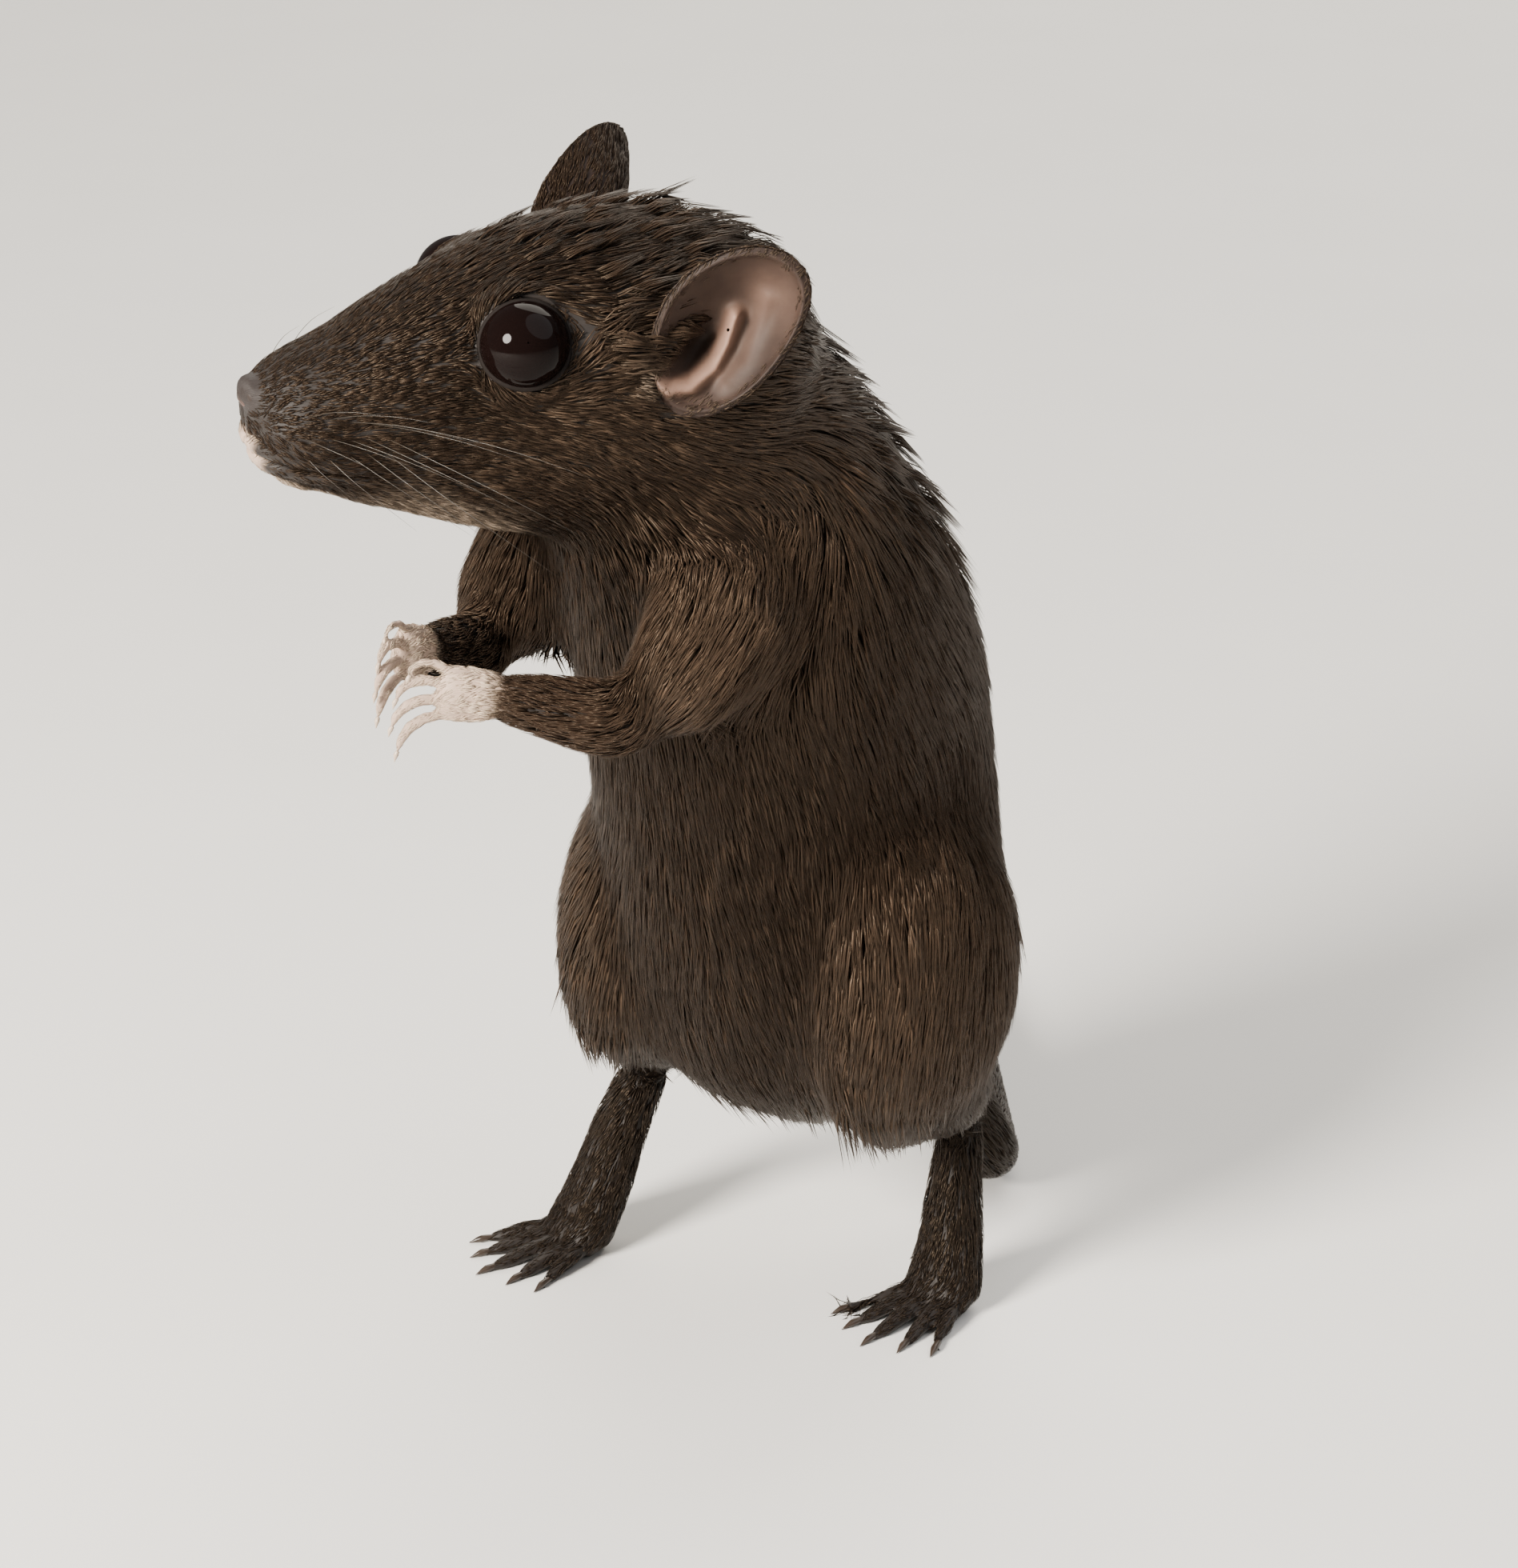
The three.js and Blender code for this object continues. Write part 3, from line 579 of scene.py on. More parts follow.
def fur_material():
    paint = Paint("fur", 0.40, Specular_IOR_Level=0.25, Specular_Tint=FUR_SHINE, Sheen_Weight=0.02,
                  Sheen_Roughness=0.4, Sheen_Tint=FUR_SHINE)
    along, tone, pale, sheen_shade = (paint.attribute(name) for name in ("along", "tone", "pale", "sheen_shade"))
    # Tips: painted shade (darkest tips) low down, painted sheen (warmer, lighter tips) where light falls.
    tip = paint.mix(paint.ranged(sheen_shade, 0, 0.5), FUR_SHADED_TIP, FUR_TIP)
    tip = paint.mix(paint.ranged(sheen_shade, 0.5, 1.0), tip, FUR_SHEEN_TIP)
    black = paint.mix(along, FUR_ROOT, tip)
    patches = paint.ranged(paint.grain(420, 3.0), 0.36, 0.66, 0.25, 1)
    # Brown ticking at random per tuft and in patches, laid on most where light falls: real ticking and
    # painted sheen together.
    ticking_and_sheen = paint.mix(paint.ranged(tone, 0.45, 1.0, 0, 0.8), black, FUR_TICKING_SHEEN)
    ticking_and_sheen = paint.mix(patches, black, ticking_and_sheen)
    black = paint.mix(paint.ranged(sheen_shade, 0.4, 1.0), black, ticking_and_sheen)
    return paint.coloured(paint.mix(pale, black, paint.mix(along, CREAM_ROOT, CREAM_TIP)))


def skin_material():
    paint = Paint("skin", 0.6, Specular_IOR_Level=0.3, Sheen_Weight=0.03)
    lie = paint.node("CombineXYZ", "Vector", X=paint.attribute("across"), Y=paint.attribute("down"))
    strands = paint.node("TexNoise", "Fac", Vector=lie, Scale=3.2, Detail=4.0)
    black = paint.mix(strands, (0.003, 0.002, 0.0016), (0.014, 0.009, 0.0065))
    cream = paint.mix(strands, (0.34, 0.23, 0.18), (0.50, 0.38, 0.29))
    coat = paint.mix(paint.attribute("pale"), black, cream)
    paint.bump(strands, 0.5, 0.00015)
    return paint.coloured(paint.mix(paint.attribute("bare"), coat, (0.012, 0.008, 0.007)))


def ear_material():
    paint = Paint("ear_skin", 0.6, Specular_IOR_Level=0.18, Subsurface_Weight=0.05,
                  Subsurface_Radius=(0.0010, 0.0004, 0.0003))
    speckle = paint.grain(900)
    pink = paint.mix(speckle, (0.24, 0.135, 0.098), (0.36, 0.225, 0.165))
    dark = paint.mix(speckle, (0.010, 0.006, 0.005), (0.026, 0.016, 0.012))
    paint.bump(speckle, 0.3, 0.0001)
    return paint.coloured(paint.mix(paint.attribute("pink"), dark, pink))


def nose_material():
    paint = Paint("nose_skin", 0.5, Specular_IOR_Level=0.25)
    grain = paint.grain(2400)
    dark = paint.mix(grain, (0.009, 0.006, 0.005), (0.024, 0.016, 0.013))
    paint.bump(grain, 0.5, 0.00006)
    return paint.coloured(paint.mix(paint.attribute("pink"), dark, (0.11, 0.062, 0.050)))


def leather_material(name, dark, light, rough, specular=0.4):
    paint = Paint(name, rough, Specular_IOR_Level=specular)
    grain = paint.grain(1500)
    paint.bump(grain, 0.4, 0.00008)
    return paint.coloured(paint.mix(grain, dark, light))


FUR = fur_material()
SKIN = skin_material()
EAR = ear_material()
NOSE = nose_material()
EYE = Paint("eye", 0.04, Specular_IOR_Level=0.05, Coat_Weight=0.05, Coat_Roughness=0.02).coloured(
    (0.0035, 0.0018, 0.0016))
LID = leather_material("lid_skin", (0.004, 0.003, 0.0025), (0.010, 0.007, 0.006), 0.75, specular=0.1)
CLAW_DARK = leather_material("claw_dark", (0.015, 0.010, 0.008), (0.04, 0.028, 0.02), 0.3)
CLAW_PALE = leather_material("claw_pale", (0.36, 0.27, 0.2), (0.5, 0.40, 0.31), 0.3)
WHISKER = leather_material("whisker", (0.02, 0.016, 0.012), (0.05, 0.04, 0.03), 0.35)


# Skin
PAWS = ("forepaw", "hind_foot")
FLESH = [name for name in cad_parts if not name.startswith(("eye", "ear"))]
CLOSE_GAPS = 0.22 * MM
VOXEL = 0.32 * MM
PAW_VOXEL = {"forepaw": 0.14 * MM, "hind_foot": 0.19 * MM}
PAW_SWELL = {"forepaw": 0.0, "hind_foot": 0.12 * MM}
MUZZLE_FROM = 15.5
LOCK_SINK = 0.35 * MM
SOLE_UP = 0.02 * MM


def node_arrays(name):
    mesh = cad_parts[name].data
    verts = np.empty(len(mesh.vertices) * 3)
    mesh.vertices.foreach_get("co", verts)
    mesh.calc_loop_triangles()
    tris = np.empty(len(mesh.loop_triangles) * 3, dtype=np.int32)
    mesh.loop_triangles.foreach_get("vertices", tris)
    return weld(verts.reshape(-1, 3), tris.reshape(-1, 3))


def weld(verts, tris):
    """Joins vertices at one place, so that a normal there is shared."""
    keys, first, places = np.unique(np.round(verts / 1e-7).astype(np.int64), axis=0,
                                    return_index=True, return_inverse=True)
    return verts[first], places.reshape(-1)[tris]


def vertex_normals(verts, faces):
    tris = triangles(faces)
    corners = verts[tris]
    face = np.cross(corners[:, 1] - corners[:, 0], corners[:, 2] - corners[:, 0])
    total = np.zeros_like(verts)
    for k in range(3):
        for axis in range(3):
            total[:, axis] += np.bincount(tris[:, k], face[:, axis], len(verts))
    return unit(total)


def swollen(name, grow):
    verts, tris = node_arrays(name)
    return verts + vertex_normals(verts, tris) * grow, tris


def voxel_remesh(verts, tris, voxel):
    obj = build_object("remesh_source", verts, tris, SKIN)
    modifier = obj.modifiers.new("remesh", "REMESH")
    modifier.mode = "VOXEL"
    modifier.voxel_size = voxel
    modifier.adaptivity = 0
    evaluated = obj.evaluated_get(bpy.context.evaluated_depsgraph_get())
    arrays = take_arrays(bpy.data.meshes.new_from_object(evaluated), 4)
    remove_object(obj)
    return arrays


def refine(verts, faces, chosen):
    """Splits the faces between chosen vertices in four, and returns triangles."""
    obj = build_object("refine_source", verts, faces, SKIN)
    work = bmesh.new()
    work.from_mesh(obj.data)
    remove_object(obj)
    edges = [edge for edge in work.edges if chosen[edge.verts[0].index] and chosen[edge.verts[1].index]]
    bmesh.ops.subdivide_edges(work, edges=edges, cuts=1, use_grid_fill=True)
    bmesh.ops.triangulate(work, faces=work.faces[:])
    mesh = bpy.data.meshes.new("refined")
    work.to_mesh(mesh)
    work.free()
    return take_arrays(mesh, 3)


def relax(verts, faces, weight, rounds):
    """Moves each vertex towards the mean of its neighbours, by its weight."""
    corners = faces.shape[1]
    edges = np.concatenate([faces[:, [k, (k + 1) % corners]] for k in range(corners)])
    count = np.maximum(np.bincount(edges[:, 0], minlength=len(verts)), 1)[:, None]
    for _ in range(rounds):
        mean = np.stack([np.bincount(edges[:, 0], verts[edges[:, 1], axis], len(verts))
                         for axis in range(3)], axis=1) / count
        verts = verts + (mean - verts) * weight[:, None]
    return verts


def lock_zone(points):
    """Where the solids' locks stand on the crown and the nape."""
    head = to_head(points)
    crown = smooth_step(11, 7, head[:, 0]) * smooth_step(-14, -9, head[:, 0])
    crown = crown * smooth_step(2.5, 5, head[:, 2])
    nape = near(points, in_design(-2, 1.5, 68), 17)
    return np.maximum(crown, nape)


def tail_core():
    """The flesh inside the tail's brush. It draws in by some 10 mm when it is sunk under the coat."""
    path = [in_design(-44.0, 52.2, 2.5), TAIL[6], in_design(-61.0, 59.0, 2.5), in_design(-75.0, 62.6, 1.8)]
    return tube(path, [2.35 * MM, 2.7 * MM, 2.6 * MM, 2.1 * MM], rings=36, sides=16)


def wrist_stub(side, grow):
    """A short limb through a wrist, which the arm's and the paw's surface share."""
    elbow, wrist, palm = (ARMS[side][name] for name in ("elbow", "wrist", "palm"))
    path = [wrist - unit(wrist - elbow) * 3.0 * MM, wrist, wrist + (palm - wrist) * 0.5, palm]
    return tube(path, [radius * MM + grow for radius in (1.6, 1.55, 1.3, 0.7)], rings=16, sides=16)


def keep_largest(verts, faces):
    """Drops the crumbs that hang together with fewer vertices than the largest part."""
    label = np.arange(len(verts))
    while True:
        lowest = label[faces].min(axis=1)
        following = label.copy()
        for k in range(faces.shape[1]):
            np.minimum.at(following, faces[:, k], lowest)
        following = following[following]
        if np.array_equal(following, label):
            break
        label = following
    kept = label == np.bincount(label).argmax()
    return verts[kept], (np.cumsum(kept) - 1)[faces[kept[faces[:, 0]]]]


def body_shell():
    """All flesh but the paws, as one surface inside the solids by the coat's depth."""
    parts = [swollen(name, CLOSE_GAPS) for name in FLESH if not name.startswith((*PAWS, "tail_tip"))]
    parts += [wrist_stub(side, CLOSE_GAPS) for side in SIDES]
    verts, faces = voxel_remesh(*merge([tail_core(), *parts]), VOXEL)
    depth = coat_fields(verts)["depth"]
    muzzle = smooth_step(13, 17, to_head(verts)[:, 0])
    weight = 0.12 + 0.38 * smooth_step(0.12 * MM, 0.5 * MM, depth) * (1 - 0.6 * muzzle)
    verts = relax(verts, faces, weight, 14)
    verts = relax(verts, faces, 0.5 * smooth_step(0.7 * MM, 1.1 * MM, depth), 30)
    locks = lock_zone(verts)
    verts = relax(verts, faces, 0.5 * locks, 220)
    verts = verts - vertex_normals(verts, faces) * (depth + CLOSE_GAPS - LOCK_SINK * locks)[:, None]
    verts = relax(verts, faces, weight, 4)
    verts, faces = refine(verts, faces, to_head(verts)[:, 0] > MUZZLE_FROM)
    muzzle = smooth_step(MUZZLE_FROM, MUZZLE_FROM + 1, to_head(verts)[:, 0])
    return relax(verts, faces, 0.35 * muzzle, 4), faces


def paw_shell(paw, side):
    """A paw with a stub up into its limb, meshed finely enough to keep its fingers apart."""
    if paw == "forepaw":
        stub = wrist_stub(side, 0)
    else:
        heel = LEGS[side]["heel"]
        way = unit(LEGS[side]["ball"] - heel) * MM
        radii = [1.0 * MM, 1.3 * MM, 1.0 * MM]
        stub = tube([heel - way * 2, heel, heel + way * 4], radii, rings=12, sides=12)
    verts, faces = voxel_remesh(*merge([stub, swollen(f"{paw}_{side}", PAW_SWELL[paw])]), PAW_VOXEL[paw])
    verts, faces = keep_largest(verts, faces)
    depth = coat_fields(verts)["depth"]
    verts = relax(verts, faces, np.full(len(verts), 0.35), 6)
    verts = verts - vertex_normals(verts, faces) * depth[:, None]
    return relax(verts, faces, np.full(len(verts), 0.35), 2), triangles(faces)


def seat_eyes(verts):
    """Keeps the skin clear of the eyeballs, tucks it under them between the lids, and lets it
    rise gently from the lids' outer edge."""
    for side in SIDES:
        distance, polar, around = round_eye(side, verts)
        past = polar - lid_angle(around)
        clear = EYE_RADIUS + 0.06 * MM
        slope = EYE_RADIUS + (0.10 + 2.6 * smooth_step(0.0, 0.8, past)) * MM
        seat = np.where(past < 0, EYE_RADIUS - 0.5 * MM, np.clip(distance, clear, slope))
        seat = np.where(past > 0.8, np.maximum(distance, clear), seat)
        hold = smooth_step(EYE_RADIUS + 3.0 * MM, EYE_RADIUS + 1.2 * MM, distance)
        radius = distance + (seat - distance) * hold
        verts = EYES[side] + unit(verts - EYES[side]) * radius[:, None]
    return verts


def clear_ears(verts):
    """Sinks the skin behind the hollow of each ear, so that its cup and canal stay open."""
    for side in SIDES:
        forward, out, up = to_ear(side, verts)
        inside = smooth_step(1.0, 0.88, ear_share(forward, up)) * smooth_step(2.3, 1.3, forward) * (out < 3.5)
        sink = np.maximum(0, out - ear_hollow(forward, up) + 0.7) * inside
        verts = verts - ear_frame(side)[1][1] * (sink * MM)[:, None]
    return verts


MOUTH_UP = -4.5
MOUTH_FALL = 0.12
MOUTH_CORNER = 17.8


def carve_mouth(verts, faces):
    """Sinks the line of the mouth and the cleft below the nose, and fills the lips."""
    head = to_head(verts)
    normals = vertex_normals(verts, faces)
    line = MOUTH_UP - MOUTH_FALL * (24 - head[:, 0])
    off = head[:, 2] - line
    reach = smooth_step(MOUTH_CORNER, MOUTH_CORNER + 1.2, head[:, 0])
    groove = np.exp(-(off / 0.2) ** 2) * reach * 0.6
    lips = (np.exp(-((off - 0.7) / 0.5) ** 2) + 0.8 * np.exp(-((off + 0.65) / 0.45) ** 2)) * reach * 0.2
    pads = 0.35 * np.exp(-((head[:, 0] - 21.8) / 1.8) ** 2 - ((head[:, 2] + 2.4) / 1.5) ** 2)
    pads = pads * smooth_step(0.8, 2.0, np.abs(head[:, 1]))
    front = smooth_step(22.5, 24.0, head[:, 0])
    cleft = np.exp(-(head[:, 1] / 0.18) ** 2) * front * (off > 0) * smooth_step(0.2, -1.2, head[:, 2]) * 0.5
    return verts + normals * ((lips + pads - groove - cleft) * MM)[:, None]


def unwrap(obj):
    """Gives the skin an unwrap of its own shape, which the coat's tufts take their places from."""
    obj.data.uv_layers.new(name="OFBake")
    bpy.ops.object.select_all(action="DESELECT")
    obj.select_set(True)
    bpy.context.view_layer.objects.active = obj
    bpy.ops.object.mode_set(mode="EDIT")
    bpy.ops.mesh.select_all(action="SELECT")
    bpy.ops.uv.smart_project(angle_limit=math.radians(66), island_margin=0.004)
    bpy.ops.object.mode_set(mode="OBJECT")
    uv = np.empty(len(obj.data.loops) * 2)
    obj.data.uv_layers["OFBake"].uv.foreach_get("vector", uv)
    return uv.reshape(len(obj.data.polygons), -1, 2)


def around_line(points, fields):
    """How far each point lies round its region's line, for the strands of the skin."""
    tangent = fields["flow"]
    level = unit(np.cross(tangent, [0.2, 0.3, 0.93]))
    over = np.cross(tangent, level)
    centre = np.zeros_like(points)
    for index, name in enumerate(REGIONS):
        inside = fields["region"] == index
        centre[inside] = np.mean([station[0] for station in LINES[name]], axis=0)
    away = points - centre
    angle = np.arctan2(np.sum(away * over, axis=1), np.sum(away * level, axis=1))
    return angle * 9


NOSE_PLACE = in_head(25.1, 0, -0.35)
NOSE_SIZE = np.array([1.15, 1.45, 1.15])


def off_nose(points):
    """1 on the surface of the nose pad, more outside it."""
    return np.linalg.norm((to_head(points) - to_head(NOSE_PLACE[None])) / NOSE_SIZE, axis=1)


def make_skin():
    parts = [body_shell()]
    for paw in PAWS:
        parts += [paw_shell(paw, side) for side in SIDES]
    verts, faces = merge(parts)
    verts = carve_mouth(clear_ears(seat_eyes(verts)), faces)
    verts[:, 2] = np.maximum(verts[:, 2], SOLE_UP)
    skin = build_object("skin", verts, faces, SKIN)
    uv = unwrap(skin)
    fields = coat_fields(verts)
    set_attribute(skin, "pale", paleness(verts))
    set_attribute(skin, "across", around_line(verts, fields))
    set_attribute(skin, "down", fields["along"] / MM * 0.12)
    set_attribute(skin, "bare", smooth_step(1.25, 1.1, off_nose(verts)))
    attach(skin, BODY)
    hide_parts(*FLESH)
    return make_surface(verts, faces, uv)


# Surfaces that hair grows on
def make_surface(verts, faces, uv):
    if faces.shape[1] == 4:
        uv = np.concatenate([uv[:, [0, 1, 2]], uv[:, [0, 2, 3]]])
    return {"verts": verts, "tris": triangles(faces), "uv": uv, "normals": vertex_normals(verts, faces),
            "bvh": BVHTree.FromPolygons(verts.tolist(), faces.tolist())}


def scatter(surface, density):
    """Random roots, as many on each triangle as its area and the density call for."""
    corners = surface["verts"][surface["tris"]]
    area = np.linalg.norm(np.cross(corners[:, 1] - corners[:, 0], corners[:, 2] - corners[:, 0]), axis=1) / 2
    expected = area / MM ** 2 * density(corners.mean(axis=1))
    count = np.floor(expected + draw.random(len(expected))).astype(int)
    tri = np.repeat(np.arange(len(count)), count)
    u, v = draw.random((2, len(tri)))
    over = u + v > 1
    u = np.where(over, 1 - u, u)
    v = np.where(over, 1 - v, v)
    share = np.stack([1 - u - v, u, v], axis=1)[:, :, None]
    roots = (corners[tri] * share).sum(axis=1)
    normals = unit((surface["normals"][surface["tris"][tri]] * share).sum(axis=1))
    places = (surface["uv"][tri] * share).sum(axis=1)
    return roots, normals, places


def nearest(surface, points):
    found = [surface["bvh"].find_nearest(Vector(point))[:2] for point in points]
    return np.array([hit[0] for hit in found]), np.array([hit[1] for hit in found])


WAVES = np.random.default_rng(5).normal(size=(6, 3)) * 260
WAVE_STARTS = np.random.default_rng(6).random(6) * 2 * math.pi


def sway(points):
    """A smooth wandering value, about -1 to 1, that neighbouring tufts share."""
    return np.sin(points @ WAVES.T + WAVE_STARTS).sum(axis=1) / 3


def turn_about(vectors, axis, angle):
    c = np.cos(angle)[:, None]
    s = np.sin(angle)[:, None]
    return vectors * c + np.cross(axis, vectors) * s


# A tuft has two rings of three corners and a tip. Its line starts a little inside the skin,
# rises to its height and leans to its neighbours' tips. Hair that runs off an edge stays free.
STATIONS = 3
RISE = np.array([-0.25, 0.6, 1.0])
TAPER = np.array([0.5, 0.44])
RIDGE = 0.5
CLUMP = 13
CLUMP_PULL = np.array([0.0, 0.16, 0.42])
FREE_FROM = 0.3 * MM
FREE_AT = 1.2 * MM


def clump_leaders(roots):
    """For each root, the nearby one whose tip its own leans to."""
    leaders = np.arange(0, len(roots), CLUMP)
    tree = KDTree(len(leaders))
    for index in leaders:
        tree.insert(Vector(roots[index]), index)
    tree.balance()
    return np.array([tree.find(Vector(root))[1] for root in roots])


def lay_lines(surface, roots, normals, flow, length, height, leader, extra_pull):
    """The middle line of each tuft, and the outward direction at each of its stations."""
    feet = [roots]
    ups = [normals]
    way = unit(flow - normals * np.sum(flow * normals, axis=1, keepdims=True))
    for _ in range(STATIONS - 1):
        guess = feet[-1] + way * length[:, None] / (STATIONS - 1)
        foot, up = nearest(surface, guess)
        off = guess - foot
        free = smooth_step(FREE_FROM, FREE_AT, np.sum(off * up, axis=1))[:, None]
        up = unit(up + (ups[-1] - up) * free)
        way = unit(way - up * np.sum(way * up, axis=1, keepdims=True))
        feet.append(foot + off * free)
        ups.append(up)
    feet = np.stack(feet, axis=1)
    ups = np.stack(ups, axis=1)
    lines = feet + ups * (RISE[None, :] * height[:, None])[:, :, None]
    pull = CLUMP_PULL[None, :] * (1 + extra_pull[:, None])
    return lines + (lines[leader] - lines) * np.minimum(pull, 0.9)[:, :, None], ups


def tuft_faces():
    """The base, the sides between two rings, and the sides of the tip."""
    faces = [(0, 1, 2)]
    for k in range(3):
        following = (k + 1) % 3
        faces += [(k, k + 3, following), (following, k + 3, following + 3)]
    return np.array(faces + [(3 + k, 6, 3 + (k + 1) % 3) for k in range(3)])


TUFT_FACES = tuft_faces()
TUFT_VERTS = 7
TUFT_ALONG = np.array([0.0] * 3 + [0.5] * 3 + [1.0])
TUFT_ACROSS = np.array([-0.5, 0.5, 0.0] * 2 + [0.0])
PATCH = 0.003
MOST_TUFTS = 19000


def tuft_arrays(lines, ups, width):
    """Three-sided closed tufts round their middle lines."""
    tangent = unit(lines[:, 1:] - lines[:, :-1])
    side = unit(np.cross(tangent, ups[:, :-1]))
    half = (width[:, None] * TAPER[None, :])[:, :, None]
    left = lines[:, :-1] - side * half
    right = lines[:, :-1] + side * half
    top = lines[:, :-1] + ups[:, :-1] * half * RIDGE
    rings = np.stack([left, right, top], axis=2).reshape(len(lines), -1, 3)
    verts = np.concatenate([rings, lines[:, -1:]], axis=1).reshape(-1, 3)
    shifts = np.arange(len(lines))[:, None, None] * TUFT_VERTS
    return verts, (TUFT_FACES[None] + shifts).reshape(-1, 3)


def make_coat(name, lines, ups, width, places, pale):
    """Builds tufts as one or more pieces, each under the limit of triangles."""
    tone = draw.random(len(lines))
    # Painted shade low down and painted sheen where light falls, for each tuft.
    sheen_shade = painted_sheen_and_shade(lines[:, 0])
    pieces = max(1, math.ceil(len(lines) / MOST_TUFTS))
    order = np.argsort(lines[:, 0, 2])
    for number, chosen in enumerate(np.array_split(order, pieces)):
        verts, faces = tuft_arrays(lines[chosen], ups[chosen], width[chosen])
        piece = build_object(name if pieces == 1 else f"{name}_{number + 1}", verts, faces, FUR)
        set_attribute(piece, "along", np.tile(TUFT_ALONG, len(chosen)))
        for key, values in {"tone": tone, "pale": pale, "sheen_shade": sheen_shade}.items():
            set_attribute(piece, key, np.repeat(values[chosen], TUFT_VERTS))
        patch = np.stack([TUFT_ACROSS, TUFT_ALONG - 0.5], axis=1) * PATCH
        uv = (places[chosen][:, None] + patch[None]).reshape(-1, 2)
        layer = piece.data.uv_layers.new(name="OFBake")
        layer.uv.foreach_set("vector", uv[faces.ravel()].astype(np.float32).ravel())
        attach(piece, BODY)


# Coat. The hair parts round an eye from EYE_REACH inwards, and is turned fully at EYE_CLEAR, both
# in millimetres. WANDER and SPREAD are angles that tufts turn by, together and each for itself.
EYE_CLEAR = 3.3
EYE_REACH = 9
EAR_FRINGE = 1.3
NOSE_BARE = 1.12
SOLE_TOP = 1.4 * MM
WANDER = 0.16
SPREAD = 0.10
STEEPEST = 0.45
LOCK_SHARE = 0.3
LOCK_RISE = 2.4
LOCK_LENGTH = 0.3
HAIR_UP = 0.05 * MM


def furred(points, normals):
    """False on the eyes, the nose pad, the hollows of the ears and the soles."""
    clear = off_nose(points) > NOSE_BARE
    clear &= ~((points[:, 2] < SOLE_TOP) & (normals[:, 2] < -0.3))
    for side in SIDES:
        distance, polar, around = round_eye(side, points)
        clear &= ~((distance < EYE_RADIUS + 1.0 * MM) & (polar < lid_angle(around) + 0.04))
        forward, out, up = to_ear(side, points)
        cup = (ear_share(forward, up) < 0.97) & (forward < 1.9) & (out < 3)
        clear &= ~(cup & (out > ear_hollow(forward, up) - 1.0))
    return clear


def part_round_eyes(roots, flow, length):
    """Turns the hair aside where it meets an eye, and shortens it in front."""
    for side in SIDES:
        outward = eye_frame(side)[0]
        away = roots - EYES[side]
        flat = away - (away @ outward)[:, None] * outward
        radial = unit(flat)
        share = np.minimum(1, (EYE_CLEAR * MM / np.linalg.norm(flat, axis=1)) ** 2)
        share = share * near(roots, EYES[side], EYE_REACH)
        aside = flow - 2 * radial * np.sum(flow * radial, axis=1, keepdims=True)
        in_front = np.sum(flow * radial, axis=1) < 0
        flow = flow + aside * share[:, None]
        length = length * np.where(in_front, np.clip(np.linalg.norm(flow, axis=1), 0.35, 1.0), 1.0)
        flow = unit(flow)
    return flow, length


def trim_at_ears(roots, length):
    """Shortens the hair in front of an ear and behind its cup, so that it stays out of it."""
    for side in SIDES:
        forward, out, up = to_ear(side, roots)
        behind = (ear_share(forward, up) < 1.05) & (out < ear_hollow(forward, up)) & (out > -9)
        length = np.where(behind, np.minimum(length, 2.0 * MM), length)
        over = (ear_share(forward, up) < EAR_FRINGE) & (forward > 0) & (np.abs(out) < 5)
        length = np.where(over, np.minimum(length, (0.5 + 0.55 * np.maximum(0, forward - 1.0)) * MM), length)
    return length


def grow_coat(surface):
    roots, normals, places = scatter(surface, lambda points: coat_fields(points)["density"])
    keep = furred(roots, normals)
    roots, normals, places = roots[keep], normals[keep], places[keep]
    fields = coat_fields(roots)
    count = len(roots)
    flow = turn_about(fields["flow"], normals, WANDER * sway(roots) + draw.normal(0, SPREAD, count))
    flow, length = part_round_eyes(roots, flow, fields["length"])
    length = trim_at_ears(roots, length) * draw.uniform(0.7, 1.2, count)
    leader = clump_leaders(roots)
    stands = (draw.random(count) < LOCK_SHARE)[leader] * lock_zone(roots)[leader]
    height = fields["depth"] * draw.uniform(0.55, 1.05, count) * (1 + LOCK_RISE * stands)
    height = np.minimum(height, length * STEEPEST)
    width = fields["width"] * draw.uniform(0.7, 1.25, count)
    length = length * (1 + LOCK_LENGTH * stands)
    lines, ups = lay_lines(surface, roots, normals, flow, length, height, leader, stands)
    lines[:, :, 2] = np.maximum(lines[:, :, 2], HAIR_UP)
    pale = paleness(roots)
    for index, name in enumerate(REGIONS):
        chosen = fields["region"] == index
        make_coat(f"coat_{name}", lines[chosen], ups[chosen], width[chosen], places[chosen], pale[chosen])


# Eyes and lids
def make_eye(side):
    outward, forward, upward = eye_frame(side)
    points, faces = sphere_grid(64, 40)
    turn = np.stack([forward, np.cross(outward, forward), outward])
    eye = build_object(f"eyeball_{side}", EYES[side] + points @ turn * EYE_RADIUS, faces, EYE)
    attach(eye, BODY)
    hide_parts(f"eye_{side}")


# The lid's section: how far outside the eyeball, and how far past the edge of the opening
LID_SECTION = [(-0.25, -0.05), (0.02, -0.03), (0.11, -0.01), (0.17, 0.02), (0.16, 0.06), (0.05, 0.11),
               (-0.5, 0.2)]


